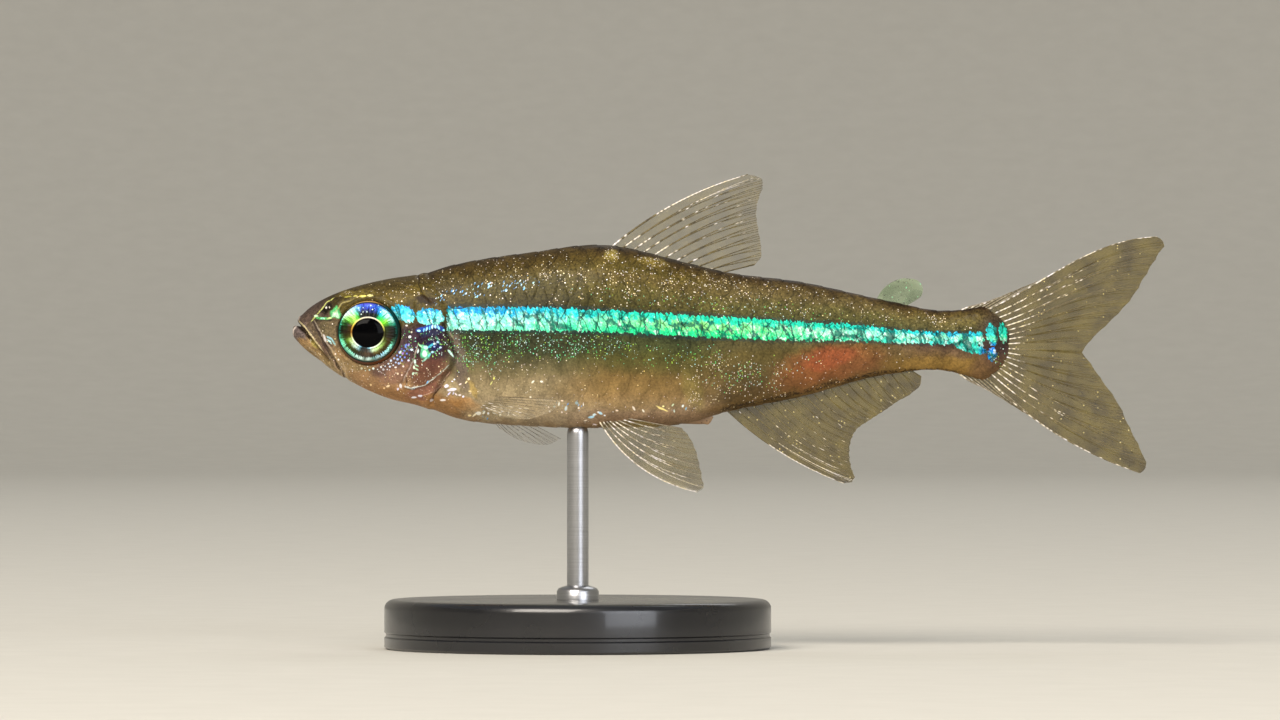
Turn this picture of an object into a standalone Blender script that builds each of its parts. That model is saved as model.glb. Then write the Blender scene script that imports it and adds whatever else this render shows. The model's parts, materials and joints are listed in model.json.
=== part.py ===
"""Green neon tetra (Paracheirodon simulans) at life size, swimming level on a small display stand.

Lengths are in millimetres and turned into metres where a mesh is made. On the fish, `along` runs
from the tip of the lower lip towards the tail, `up` is measured from the centre of the eye, and
`side` is positive on the fish's right, so the left flank faces -Y and the head points to -X.
"""
import math

import bmesh
import bpy
import numpy as np
from mathutils import Vector

MM = 0.001

# Driving dimensions of the whole model
TOTAL_LENGTH = 28.18    # lower lip to the tip of the upper tail lobe
EYE_HEIGHT = 10.20      # centre of the eye above the table
GAP = 0.25              # clearance between neighbouring pieces

# Body sections: along, back line, belly line, half width, height of the widest point
BODY_SECTIONS = (
    (0.00, 0.08, 0.08, 0.00, 0.08),
    (0.24, 0.54, -0.38, 0.40, 0.06),
    (0.60, 0.87, -0.70, 0.63, 0.02),
    (1.65, 1.39, -1.45, 0.95, -0.05),
    (3.20, 1.78, -2.15, 1.17, -0.12),
    (4.04, 1.91, -2.35, 1.26, -0.20),
    (5.20, 2.23, -2.76, 1.34, -0.28),
    (7.60, 2.62, -3.03, 1.41, -0.35),
    (10.20, 2.86, -3.08, 1.38, -0.36),
    (12.90, 2.25, -2.89, 1.16, -0.32),
    (13.90, 2.01, -2.60, 1.07, -0.28),
    (16.44, 1.67, -2.07, 0.82, -0.20),
    (19.30, 1.05, -1.34, 0.56, -0.16),
    (21.00, 0.75, -1.23, 0.46, -0.20),
    (22.10, 0.85, -1.50, 0.42, -0.24),
    (23.20, 1.18, -1.85, 0.36, -0.28),
)
BACK, BELLY, HALF_WIDTH, MIDDLE = 1, 2, 3, 4       # columns of the table
CROWN_FLATNESS = 0.8    # how much squarer the section is over the eyes than an ellipse
CROWN_CENTRE = 2.5
CROWN_REACH = 1.6

# Seams between head, trunk and tail: (up, along) down the side of the fish
GILL_SEAM = ((-2.60, 4.28), (-1.90, 4.62), (-1.20, 5.04), (-0.70, 5.28), (-0.10, 5.08), (0.65, 4.88),
             (1.40, 4.45), (2.10, 4.12))
GILL_SEAM_CENTRE = 4.90
GILL_SEAM_REACH = 2.60
TAIL_SEAM_ALONG = 20.05
TAIL_END = ((-1.60, 22.25), (-1.20, 22.80), (-0.40, 23.15), (0.40, 22.95), (0.95, 22.25))
TAIL_END_CENTRE = 23.15
TAIL_END_REACH = 2.40
SEAM_FALL = 1.5         # how fast the bend of the rings fades away from a seam
SEAM_PASSES = 4         # rounds in which a point on a bent ring settles on the skin

# Eye, nostril and gill cover
EYE_ALONG = 2.46
EYE_RADIUS = 1.00
EYE_SIDE = 0.80         # centre of the flattened eyeball off the middle plane
EYE_BULGE = 0.48        # half its thickness
EYE_SQUARENESS = 2.7
EYE_RINGS = 8
EYE_STEPS = 28
SOCKET_REACH = 1.2      # how far out of the eye's centre the socket is cut
NOSTRIL_ALONG = 1.10
NOSTRIL_UP = 0.81
NOSTRIL_RADIUS = 0.17
COVER_TOP = 0.93
COVER_BOTTOM = (-1.72, -1.07)       # lower edge at the front and at the rear
COVER_FRONT = ((-1.80, 3.62), (-1.00, 3.92), (-0.50, 4.07), (0.40, 4.11), (1.20, 4.05))
COVER_DEPTH = 0.45
COVER_ROWS = 12
COVER_COLUMNS = 9
POCKET_REACH = 3        # the pocket for the cover is cut this many gaps through the skin and the seam

# Mouth cleft from in front of the lips to below the throat: (along, up)
MOUTH_CLEFT = ((-0.50, 0.62), (0.13, 0.30), (0.46, -0.07), (0.86, -0.58), (1.26, -1.01), (1.80, -1.90))
MOUTH_GAP = 0.20
LIP_WIDTH = 0.30
LIP_RISE = 0.06
JAW_BLOCK_FRONT = -1.5
JAW_BLOCK_LOW = -3.0
JAW_BLOCK_TOP = 0.7
JAW_BLOCK_SIDE = 2.5

# Fins
WEB_THICKNESS = 0.50
TIP_THICKNESS = 0.26
TAPER_START = 0.70      # share of the ray's length where the thinning to the tip begins
TAPER_POWER = 1.5
RIDGE_RISE = 0.10       # height of a fin ray above the web on each face
RIDGE_STEEPNESS = 0.9   # greatest rise of a ray for its distance from the web beside it
FIN_ROWS = 8
SMOOTH_FIN_COLUMNS = 7
PELVIC_SIDE = 0.47      # root of a pelvic fin off the middle plane
PECTORAL_ALONG = 5.78   # upper end of a pectoral fin's root
PECTORAL_UP = -2.05
PECTORAL_LEAN = 0.7     # how far the root runs back for its drop

# Stand
BASE_RADIUS = 6.25
BASE_THICKNESS = 1.60
BASE_EDGE = 0.35
ROD_RADIUS = 0.35
ROD_ALONG = 9.20
RIM_STEPS = 64
ROD_STEPS = 24

SHARP_ANGLE = math.radians(50)
TIP_START = 0.012       # place of the first ring at the lower lip
TIP_CROWDING = 1.5      # how much closer the rings stand towards the lips
HEAD_RINGS = 24
TRUNK_RINGS = 28
TAIL_RINGS = 8
HEAD_RIBS = 20          # points from back to belly on each side of a ring
TRUNK_RIBS = 18


def remove_all_objects():
    """Empty the scene."""
    for item in list(bpy.data.objects):
        bpy.data.objects.remove(item, do_unlink=True)


def smooth_through(points, where):
    """Read a smooth curve through (place, value) points at one or many places."""
    places, values = np.array(points, dtype=float).T
    slopes = np.gradient(values, places)
    where = np.clip(where, places[0], places[-1])
    left = np.clip(np.searchsorted(places, where) - 1, 0, len(places) - 2)
    span = places[left + 1] - places[left]
    t = (where - places[left]) / span
    rise = values[left] * (2 * t**3 - 3 * t**2 + 1) + values[left + 1] * (3 * t**2 - 2 * t**3)
    lean = slopes[left] * (t**3 - 2 * t**2 + t) + slopes[left + 1] * (t**3 - t**2)
    return rise + span * lean


def body_size(along, column):
    """Back line, belly line, half width or height of the widest point, at a place along the body."""
    points = [(math.sqrt(row[0]), row[column]) for row in BODY_SECTIONS]
    return float(smooth_through(points, math.sqrt(max(along, 0.0))))


def section_power(along, upper):
    """Exponent of the section's outline: 2 is an ellipse, and the crown over the eyes is squarer."""
    if not upper:
        return 2.0
    return 2.0 + CROWN_FLATNESS * math.exp(-((along - CROWN_CENTRE) / CROWN_REACH) ** 2)


def section_point(along, turn):
    """Side and up of the skin at an angle `turn` round the section, from the back (0) to the belly (pi)."""
    middle = body_size(along, MIDDLE)
    upper = turn <= math.pi / 2
    reach = body_size(along, BACK) - middle if upper else middle - body_size(along, BELLY)
    power = section_power(along, upper)
    height = abs(math.cos(turn)) ** (2 / power) * reach
    side = body_size(along, HALF_WIDTH) * abs(math.sin(turn)) ** (2 / power)
    return side, middle + (height if upper else -height)


def skin_side(along, up):
    """Distance of the skin from the middle plane at a place on the flank."""
    middle = body_size(along, MIDDLE)
    upper = up >= middle
    reach = body_size(along, BACK) - middle if upper else middle - body_size(along, BELLY)
    power = section_power(along, upper)
    share = min(abs(up - middle) / reach, 1.0)
    return body_size(along, HALF_WIDTH) * (1 - share**power) ** (1 / power)


def new_object(name, verts, faces, material, frame=None):
    """Make a smooth-shaded object from points in millimetres, hung from the fish's frame if given."""
    mesh = bpy.data.meshes.new(name)
    mesh.from_pydata([Vector(v) * MM for v in verts], [], faces)
    shell = bmesh.new()
    shell.from_mesh(mesh)
    bmesh.ops.recalc_face_normals(shell, faces=shell.faces)
    shell.to_mesh(mesh)
    shell.free()
    mesh.shade_smooth()
    mesh.set_sharp_from_angle(angle=SHARP_ANGLE)
    item = bpy.data.objects.new(name, mesh)
    bpy.context.scene.collection.objects.link(item)
    item.parent = frame
    if material is not None:
        mesh.materials.append(material)
    return item


def make_material(name, colour, roughness, metallic=0.0):
    """Principled material with one colour."""
    material = bpy.data.materials.new(name)
    material.use_nodes = True
    shader = material.node_tree.nodes["Principled BSDF"]
    shader.inputs["Base Color"].default_value = (*colour, 1.0)
    shader.inputs["Roughness"].default_value = roughness
    shader.inputs["Metallic"].default_value = metallic
    material.diffuse_color = (*colour, 1.0)
    return material


def keep_largest_surface(mesh):
    """Delete every closed surface of a mesh but the largest."""
    shell = bmesh.new()
    shell.from_mesh(mesh)
    todo = set(shell.faces)
    pieces = []
    while todo:
        piece = {todo.pop()}
        front = list(piece)
        while front:
            face = front.pop()
            for edge in face.edges:
                for near in edge.link_faces:
                    if near in todo:
                        todo.remove(near)
                        piece.add(near)
                        front.append(near)
        pieces.append(piece)
    pieces.sort(key=lambda piece: sum(face.calc_area() for face in piece))
    loose = [face for piece in pieces[:-1] for face in piece]
    bmesh.ops.delete(shell, geom=loose, context="FACES")
    bmesh.ops.triangulate(shell, faces=shell.faces)
    shell.to_mesh(mesh)
    shell.free()


def carve(item, cutters, operation="DIFFERENCE"):
    """Cut an object by others, or keep what they share, and remove the cutters."""
    for cutter in cutters:
        step = item.modifiers.new("cut", "BOOLEAN")
        step.operation = operation
        step.object = cutter
    bpy.context.view_layer.update()
    graph = bpy.context.evaluated_depsgraph_get()
    mesh = bpy.data.meshes.new_from_object(item.evaluated_get(graph))
    item.modifiers.clear()
    keep_largest_surface(mesh)
    mesh.shade_smooth()
    mesh.set_sharp_from_angle(angle=SHARP_ANGLE)
    item.data = mesh
    for cutter in cutters:
        bpy.data.objects.remove(cutter, do_unlink=True)


def seam_offset(seam, centre, up):
    """How far a seam runs behind (+) or ahead (-) of its centre at a height."""
    return float(smooth_through(seam, up)) - centre


def loft_body(name, start, end, rings, ribs, bends, material, frame, closed_tip=False):
    """Closed length of the body whose rings bend into the seams at its ends.

    Each bend is (seam, centre, reach): rings near the centre follow the seam, and the bend fades
    out over the reach.
    """
    places = np.linspace(0.0, 1.0, rings + 1)
    if closed_tip:
        places = places**TIP_CROWDING
    verts = []
    for share in places:
        station = start + (end - start) * share
        ring = []
        for rib in range(ribs + 1):
            turn = math.pi * rib / ribs
            along = max(station, TIP_START)
            for _ in range(SEAM_PASSES):
                side, up = section_point(along, turn)
                along = max(station, TIP_START)
                for seam, centre, reach in bends:
                    fade = max(0.0, 1.0 - abs(station - centre) / reach)
                    along += seam_offset(seam, centre, up) * fade**SEAM_FALL
            side, up = section_point(along, turn)
            ring.append((along, -side, up))
        mirrored = [(x, -y, z) for x, y, z in reversed(ring[1:-1])]
        verts += ring + mirrored
    count = 2 * ribs
    faces = []
    for ring in range(rings):
        for k in range(count):
            a = ring * count + k
            b = ring * count + (k + 1) % count
            faces.append((a, b, b + count, a + count))
    for first in (0, rings * count):
        faces.append((first, first + 1, first + count - 1))
        for k in range(1, ribs - 1):
            faces.append((first + k, first + k + 1, first + count - k - 1, first + count - k))
        faces.append((first + ribs - 1, first + ribs, first + ribs + 1))
    return new_object(name, verts, faces, material, frame)


def grid_slab(name, near, far, material, frame):
    """Closed slab between two grids of points that have the same rows and columns."""
    rows = len(near)
    columns = len(near[0])
    verts = [point for grid in (near, far) for row in grid for point in row]
    layer = rows * columns
    faces = []
    for r in range(rows - 1):
        for c in range(columns - 1):
            a = r * columns + c
            b, d, e = a + 1, a + columns, a + columns + 1
            faces += [(a, b, e), (a, e, d)]
            faces += [(a + layer, e + layer, b + layer), (a + layer, d + layer, e + layer)]
    rim = list(range(columns))
    rim += [r * columns + columns - 1 for r in range(1, rows)]
    rim += [(rows - 1) * columns + c for c in range(columns - 2, -1, -1)]
    rim += [r * columns for r in range(rows - 2, 0, -1)]
    for k, a in enumerate(rim):
        b = rim[(k + 1) % len(rim)]
        faces += [(b, a, a + layer), (b, a + layer, b + layer)]
    return new_object(name, verts, faces, material, frame)


def turned_eye(name, sign, grow, reach_out, material, frame):
    """Flattened eyeball turned about a line across the head, or its socket when grown."""
    radius = EYE_RADIUS + grow
    bulge = EYE_BULGE + grow
    profile = []
    for k in range(EYE_RINGS + 1):
        turn = math.pi * k / EYE_RINGS
        out = -math.cos(turn)
        width = max(1.0 - abs(out) ** EYE_SQUARENESS, 0.0) ** (1 / EYE_SQUARENESS)
        profile.append((EYE_SIDE + bulge * out, radius * width))
    if reach_out:
        profile = profile[:EYE_RINGS // 2 + 1]
        profile += [(EYE_SIDE + reach_out, radius), (EYE_SIDE + reach_out, 0.0)]
    steps = EYE_STEPS
    verts = [(EYE_ALONG, sign * profile[0][0], 0.0)]
    for side, width in profile[1:-1]:
        for k in range(steps):
            turn = 2 * math.pi * k / steps
            verts.append((EYE_ALONG + width * math.cos(turn), sign * side, width * math.sin(turn)))
    verts.append((EYE_ALONG, sign * profile[-1][0], 0.0))
    rings = len(profile) - 2
    last = len(verts) - 1
    faces = []
    for k in range(steps):
        n = (k + 1) % steps
        faces.append((0, 1 + k, 1 + n))
        faces.append((last, last - steps + n, last - steps + k))
        for r in range(rings - 1):
            a = 1 + r * steps
            faces.append((a + k, a + steps + k, a + steps + n, a + n))
    return new_object(name, verts, faces, material, frame)


def cover_patch(name, sign, grow, material, frame):
    """Gill cover as a slab that follows the cheek, or the pocket that it sits in when grown."""
    outer, inner = [], []
    for r in range(COVER_ROWS):
        outer_row, inner_row = [], []
        for c in range(COVER_COLUMNS):
            u = c / (COVER_COLUMNS - 1)
            top = COVER_TOP + grow
            bottom = COVER_BOTTOM[0] + (COVER_BOTTOM[1] - COVER_BOTTOM[0]) * u - grow
            up = top + (bottom - top) * r / (COVER_ROWS - 1)
            front = float(smooth_through(COVER_FRONT, up)) - grow
            rear = float(smooth_through(GILL_SEAM, up)) - GAP / 2 + POCKET_REACH * grow
            along = front + (rear - front) * u
            side = skin_side(along, up)
            outer_row.append((along, sign * (side + POCKET_REACH * grow), up))
            inner_row.append((along, sign * (side - COVER_DEPTH - grow), up))
        outer.append(outer_row)
        inner.append(inner_row)
    return grid_slab(name, outer, inner, material, frame)


def offset_cleft(shift):
    """Mouth cleft moved at right angles, towards the upper jaw when `shift` is positive."""
    moved = []
    for k, point in enumerate(MOUTH_CLEFT):
        before = Vector(MOUTH_CLEFT[max(k - 1, 0)])
        after = Vector(MOUTH_CLEFT[min(k + 1, len(MOUTH_CLEFT) - 1)])
        run = (after - before).normalized()
        moved.append((point[0] - run.y * shift, point[1] + run.x * shift))
    return moved


def jaw_prism(name, shift, frame):
    """Block that holds everything ahead of and below the mouth cleft."""
    outline = offset_cleft(shift) + [(JAW_BLOCK_FRONT, JAW_BLOCK_LOW), (JAW_BLOCK_FRONT, JAW_BLOCK_TOP)]
    count = len(outline)
    verts = [(along, side, up) for side in (-JAW_BLOCK_SIDE, JAW_BLOCK_SIDE) for along, up in outline]
    faces = [tuple(range(count)), tuple(range(2 * count - 1, count - 1, -1))]
    for k in range(count):
        n = (k + 1) % count
        faces.append((k, n, n + count, k + count))
    return new_object(name, verts, faces, None, frame)


def swell_lips(item):
    """Raise a soft ridge on both sides of the mouth cleft, never ahead of the tip of the lower lip."""
    cleft = [Vector(point) for point in MOUTH_CLEFT[1:-1]]
    shell = bmesh.new()
    shell.from_mesh(item.data)
    shell.normal_update()
    for vert in shell.verts:
        place = Vector((vert.co.x, vert.co.z)) / MM
        reach = min(distance_to_run(place, a, b) for a, b in zip(cleft, cleft[1:]))
        if reach < LIP_WIDTH:
            rise = LIP_RISE * (1 - (reach / LIP_WIDTH) ** 2)
            vert.co += vert.normal * rise * MM
            vert.co.x = max(vert.co.x, 0.0)
    shell.to_mesh(item.data)
    shell.free()


def distance_to_run(place, start, end):
    """Distance from a point to a straight run."""
    run = end - start
    share = min(max((place - start).dot(run) / run.length_squared, 0.0), 1.0)
    return (place - start - run * share).length


def make_head(skin, eye_skin, frame):
    """Head with its eyes, gill covers and lower jaw as pieces of their own."""
    bends = [(GILL_SEAM, GILL_SEAM_CENTRE, GILL_SEAM_REACH)]
    rear = GILL_SEAM_CENTRE - GAP / 2
    head = loft_body("head", 0.0, rear, HEAD_RINGS, HEAD_RIBS, bends, skin, frame, closed_tip=True)
    swell_lips(head)
    jaw = head.copy()
    jaw.data = head.data.copy()
    jaw.name = "lower_jaw"
    bpy.context.scene.collection.objects.link(jaw)
    carve(jaw, [jaw_prism("jaw_block", -MOUTH_GAP / 2, frame)], operation="INTERSECT")
    cutters = [jaw_prism("jaw_space", MOUTH_GAP / 2, frame)]
    for sign, label in ((-1, "left"), (1, "right")):
        cutters.append(turned_eye(f"socket_{label}", sign, GAP, SOCKET_REACH, None, frame))
        cutters.append(cover_patch(f"pocket_{label}", sign, GAP, None, frame))
        cutters.append(nostril_pit(f"nostril_{label}", sign, frame))
    carve(head, cutters)
    for sign, label in ((-1, "left"), (1, "right")):
        turned_eye(f"eye_{label}", sign, 0.0, 0.0, eye_skin, frame)
        cover_patch(f"gill_cover_{label}", sign, 0.0, skin, frame)


def nostril_pit(name, sign, frame):
    """Small ball that sinks the nostril into the snout."""
    shell = bmesh.new()
    bmesh.ops.create_icosphere(shell, subdivisions=2, radius=NOSTRIL_RADIUS)
    side = sign * skin_side(NOSTRIL_ALONG, NOSTRIL_UP)
    verts = [(v.co.x + NOSTRIL_ALONG, v.co.y + side, v.co.z + NOSTRIL_UP) for v in shell.verts]
    faces = [[v.index for v in face.verts] for face in shell.faces]
    shell.free()
    return new_object(name, verts, faces, None, frame)


def make_trunk_and_tail(skin, frame):
    """Trunk from the gill seam to behind the anal fin, and the tail stem behind it."""
    gill = (GILL_SEAM, GILL_SEAM_CENTRE, GILL_SEAM_REACH)
    end = (TAIL_END, TAIL_END_CENTRE, TAIL_END_REACH)
    front = GILL_SEAM_CENTRE + GAP / 2
    loft_body("trunk", front, TAIL_SEAM_ALONG - GAP / 2, TRUNK_RINGS, TRUNK_RIBS, [gill], skin, frame)
    loft_body("tail", TAIL_SEAM_ALONG + GAP / 2, TAIL_END_CENTRE, TAIL_RINGS, TRUNK_RIBS, [end], skin, frame)


def back_root(along):
    """Root point of a fin on the back."""
    return along, 0.0, body_size(along, BACK) + GAP


def belly_root(along):
    """Root point of a fin under the body."""
    return along, 0.0, body_size(along, BELLY) - GAP


def tail_root(up):
    """Root point of a tail ray behind the fleshy end of the tail stem."""
    return float(smooth_through(TAIL_END, up)) + GAP, 0.0, up


def pelvic_root(along):
    """Root point of the left pelvic fin beside the middle of the belly."""
    middle = body_size(along, MIDDLE)
    drop = middle - body_size(along, BELLY)
    share = PELVIC_SIDE / body_size(along, HALF_WIDTH)
    return along, -PELVIC_SIDE, middle - drop * math.sqrt(1 - share**2) - GAP


def pectoral_root(up):
    """Root point of the left pectoral fin, low behind the gill cover."""
    along = PECTORAL_ALONG - PECTORAL_LEAN * (up - PECTORAL_UP)
    return along, -(skin_side(along, up) + GAP + WEB_THICKNESS / 2), up


# Fins: `span` is the range of the root from the leading to the trailing ray, `margin` holds points of
# the outer edge (share of the rays, along, up), `splay` moves the tips of the leading and trailing
# rays sideways, `bow` is the arch of the leading ray, and a greater `late` has its top nearer the tip.
FINS = {
    "dorsal_fin": dict(
        root=back_root, span=(10.14, 13.53), rays=11, bow=0.30, late=1, splay=(0.0, 0.0),
        margin=((0.0, 14.72, 5.13), (0.05, 15.02, 5.10), (0.12, 15.22, 4.92), (0.20, 15.20, 4.66),
                (0.42, 15.00, 3.94), (0.60, 15.05, 3.40), (0.80, 15.14, 2.80), (0.92, 15.12, 2.50),
                (1.0, 14.94, 2.30))),
    "adipose_fin": dict(
        root=back_root, span=(18.80, 19.62), rays=0, bow=0.12, late=1, splay=(0.0, 0.0),
        margin=((0.0, 19.80, 1.78), (0.25, 20.17, 1.70), (0.5, 20.36, 1.46), (0.75, 20.32, 1.24),
                (1.0, 20.13, 1.13))),
    "anal_fin": dict(
        root=belly_root, span=(13.90, 19.74), rays=17, bow=-0.25, late=1, splay=(0.0, 0.0),
        margin=((0.0, 17.86, -4.87), (0.05, 18.10, -4.80), (0.16, 18.07, -4.38), (0.25, 18.00, -3.97),
                (0.34, 18.03, -3.54), (0.44, 18.21, -3.14), (0.56, 18.64, -2.82), (0.70, 19.15, -2.49),
                (0.82, 19.58, -2.20), (0.93, 20.08, -1.88), (1.0, 20.42, -1.62))),
    "caudal_fin_upper": dict(
        root=tail_root, span=(0.93, -0.30), rays=10, bow=0.33, late=2, splay=(0.0, 0.0),
        margin=((0.0, 27.90, 3.12), (0.05, 28.13, 3.02), (0.10, 28.17, 2.84), (0.20, 27.95, 2.45),
                (0.35, 27.58, 1.85), (0.52, 27.15, 1.15), (0.72, 26.50, 0.44), (1.0, 25.55, -0.54))),
    "caudal_fin_lower": dict(
        root=tail_root, span=(-1.62, -0.66), rays=9, bow=-0.34, late=1, splay=(0.0, 0.0),
        margin=((0.0, 27.36, -4.54), (0.06, 27.58, -4.44), (0.12, 27.60, -4.20), (0.25, 27.33, -3.58),
                (0.38, 27.06, -3.05), (0.55, 26.70, -2.29), (0.75, 26.10, -1.48), (1.0, 25.55, -0.82))),
    "pelvic_fin_left": dict(
        root=pelvic_root, span=(9.82, 10.46), rays=8, bow=-0.46, late=1, splay=(-0.75, -0.55),
        margin=((0.0, 13.08, -5.13), (0.08, 13.26, -5.03), (0.20, 13.25, -4.70), (0.40, 13.16, -4.26),
                (0.62, 13.02, -3.75), (0.82, 12.80, -3.35), (1.0, 12.60, -3.12))),
    "pectoral_fin_left": dict(
        root=pectoral_root, span=(-2.05, -2.33), rays=9, bow=0.03, late=1, splay=(-0.45, -0.40),
        margin=((0.0, 8.69, -2.16), (0.4, 8.42, -2.50), (0.75, 7.60, -2.78), (1.0, 6.85, -2.72))),
}
# The far pectoral fin is held lower than the near one, so that its tip shows under the belly
PECTORAL_RIGHT_MARGIN = ((0.0, 8.66, -3.44), (0.4, 8.14, -3.64), (0.75, 7.25, -3.46), (1.0, 6.69, -3.12))


def fin_middle(fin, rows, columns):
    """Middle surface of a fin: rows run from the root to the margin, columns from the leading ray back."""
    margin_along = [(share, along) for share, along, up in fin["margin"]]
    margin_up = [(share, up) for share, along, up in fin["margin"]]
    first, last = fin["span"]
    surface = np.zeros((rows, columns, 3))
    for c in range(columns):
        u = c / (columns - 1)
        root = np.array(fin["root"](first + (last - first) * u))
        splay = fin["splay"][0] + (fin["splay"][1] - fin["splay"][0]) * u
        tip = np.array((smooth_through(margin_along, u), root[1] + splay, smooth_through(margin_up, u)))
        run = tip - root
        arch = np.array((-run[2], 0.0, run[0])) / math.hypot(run[0], run[2]) * fin["bow"] * (1 - u)
        late = fin["late"]
        peak = late**late / (late + 1) ** (late + 1)
        for r in range(rows):
            v = r / (rows - 1)
            surface[r, c] = root + run * v + arch * v**late * (1 - v) / peak
    return surface


def fin_solid(name, fin, mirror, material, frame):
    """Fin web as a closed slab, alike on both faces, with a raised ridge along each ray."""
    columns = 2 * fin["rays"] - 1 if fin["rays"] else SMOOTH_FIN_COLUMNS
    surface = fin_middle(fin, FIN_ROWS, columns)
    pitch = np.linalg.norm(np.gradient(surface, axis=1), axis=2)
    left, right = [], []
    for r in range(FIN_ROWS):
        left_row, right_row = [], []
        for c in range(columns):
            half = web_thickness(r / (FIN_ROWS - 1)) / 2
            if fin["rays"] and c % 2 == 0:
                half += min(RIDGE_RISE, RIDGE_STEEPNESS * pitch[r, c])
            along, side, up = surface[r, c]
            left_row.append((along, mirror * (side - half), up))
            right_row.append((along, mirror * (side + half), up))
        left.append(left_row)
        right.append(right_row)
    return grid_slab(name, left, right, material, frame)


def web_thickness(v):
    """Thickness of a fin's web at a share v of the ray's length."""
    taper = max(0.0, (v - TAPER_START) / (1 - TAPER_START))
    return WEB_THICKNESS + (TIP_THICKNESS - WEB_THICKNESS) * taper**TAPER_POWER


def make_fins(material, frame):
    """All fins, with the paired ones mirrored to the right side."""
    for name, fin in FINS.items():
        fin_solid(name, fin, 1, material, frame)
    fin_solid("pelvic_fin_right", FINS["pelvic_fin_left"], -1, material, frame)
    lowered = dict(FINS["pectoral_fin_left"], margin=PECTORAL_RIGHT_MARGIN)
    fin_solid("pectoral_fin_right", lowered, -1, material, frame)


def turned_solid(name, profile, steps, centre, material):
    """Solid turned about a vertical line from a profile of (radius, height), both ends on the line."""
    verts = [(centre, 0.0, profile[0][1])]
    for radius, height in profile[1:-1]:
        for k in range(steps):
            turn = 2 * math.pi * k / steps
            verts.append((centre + radius * math.cos(turn), radius * math.sin(turn), height))
    verts.append((centre, 0.0, profile[-1][1]))
    rings = len(profile) - 2
    last = len(verts) - 1
    faces = []
    for k in range(steps):
        n = (k + 1) % steps
        faces.append((0, 1 + n, 1 + k))
        faces.append((last, last - steps + k, last - steps + n))
        for r in range(rings - 1):
            a = 1 + r * steps
            faces.append((a + k, a + n, a + steps + n, a + steps + k))
    return new_object(name, verts, faces, material)


def make_stand(base_material, rod_material):
    """Round base with a rod up to the belly under the fish's centre of mass."""
    centre = ROD_ALONG - TOTAL_LENGTH / 2
    bevel = BASE_EDGE * (1 - math.sqrt(0.5))
    base_profile = [(0.0, 0.0), (BASE_RADIUS, 0.0), (BASE_RADIUS, BASE_THICKNESS - BASE_EDGE)]
    base_profile += [(BASE_RADIUS - bevel, BASE_THICKNESS - bevel)]
    base_profile += [(BASE_RADIUS - BASE_EDGE, BASE_THICKNESS), (0.0, BASE_THICKNESS)]
    turned_solid("stand_base", base_profile, RIM_STEPS, centre, base_material)
    foot = BASE_THICKNESS + GAP
    top = EYE_HEIGHT + body_size(ROD_ALONG, BELLY) - GAP
    rod_profile = [(0.0, foot), (ROD_RADIUS, foot), (ROD_RADIUS, top), (0.0, top)]
    turned_solid("stand_rod", rod_profile, ROD_STEPS, centre, rod_material)


def main():
    """Build the fish and its stand."""
    remove_all_objects()
    frame = bpy.data.objects.new("fish_frame", None)
    bpy.context.scene.collection.objects.link(frame)
    frame.location = Vector((-TOTAL_LENGTH / 2, 0.0, EYE_HEIGHT)) * MM
    skin = make_material("scaled_skin", (0.20, 0.15, 0.07), 0.35)
    eye_skin = make_material("eye", (0.05, 0.45, 0.35), 0.10)
    web = make_material("fin_web", (0.22, 0.19, 0.06), 0.40)
    make_head(skin, eye_skin, frame)
    make_trunk_and_tail(skin, frame)
    make_fins(web, frame)
    lacquer = make_material("black_lacquer", (0.02, 0.02, 0.022), 0.30)
    steel = make_material("brushed_steel", (0.60, 0.60, 0.62), 0.25, metallic=1.0)
    make_stand(lacquer, steel)


main()
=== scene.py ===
# %% [markdown]
# # A green neon tetra on a display stand
# The model is a life-size fish, 28 mm long, held by a rod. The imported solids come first, as a fixed
# frame that says where every piece sits. The fish's own measures are in millimetres: `along` runs
# from the lower lip to the tail, `up` is counted from the centre of the eye, and `side` is positive
# on the fish's right.
# %% Load the frame
import json
import math

import bpy
import numpy as np
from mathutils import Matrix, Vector

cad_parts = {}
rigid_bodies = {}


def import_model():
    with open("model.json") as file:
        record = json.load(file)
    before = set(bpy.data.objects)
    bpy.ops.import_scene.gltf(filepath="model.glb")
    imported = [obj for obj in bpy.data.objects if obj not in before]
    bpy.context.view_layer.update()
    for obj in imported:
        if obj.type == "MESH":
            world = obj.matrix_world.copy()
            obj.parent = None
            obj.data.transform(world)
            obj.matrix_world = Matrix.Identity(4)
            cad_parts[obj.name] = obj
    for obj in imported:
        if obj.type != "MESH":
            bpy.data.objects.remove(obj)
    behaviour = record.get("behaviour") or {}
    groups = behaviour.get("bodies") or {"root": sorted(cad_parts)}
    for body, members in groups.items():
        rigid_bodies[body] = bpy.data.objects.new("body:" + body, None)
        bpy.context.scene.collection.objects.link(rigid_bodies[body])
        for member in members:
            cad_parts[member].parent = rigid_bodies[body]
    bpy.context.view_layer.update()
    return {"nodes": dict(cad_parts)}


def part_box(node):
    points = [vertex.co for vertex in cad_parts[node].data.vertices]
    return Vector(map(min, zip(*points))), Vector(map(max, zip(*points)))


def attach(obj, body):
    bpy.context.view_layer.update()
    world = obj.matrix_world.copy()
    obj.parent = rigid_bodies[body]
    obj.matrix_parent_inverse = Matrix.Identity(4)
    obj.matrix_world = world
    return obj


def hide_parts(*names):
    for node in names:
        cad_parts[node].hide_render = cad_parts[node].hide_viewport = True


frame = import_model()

MM = 0.001
EYE_ALONG = 2.46
EYE_SIDE = 0.8

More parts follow.
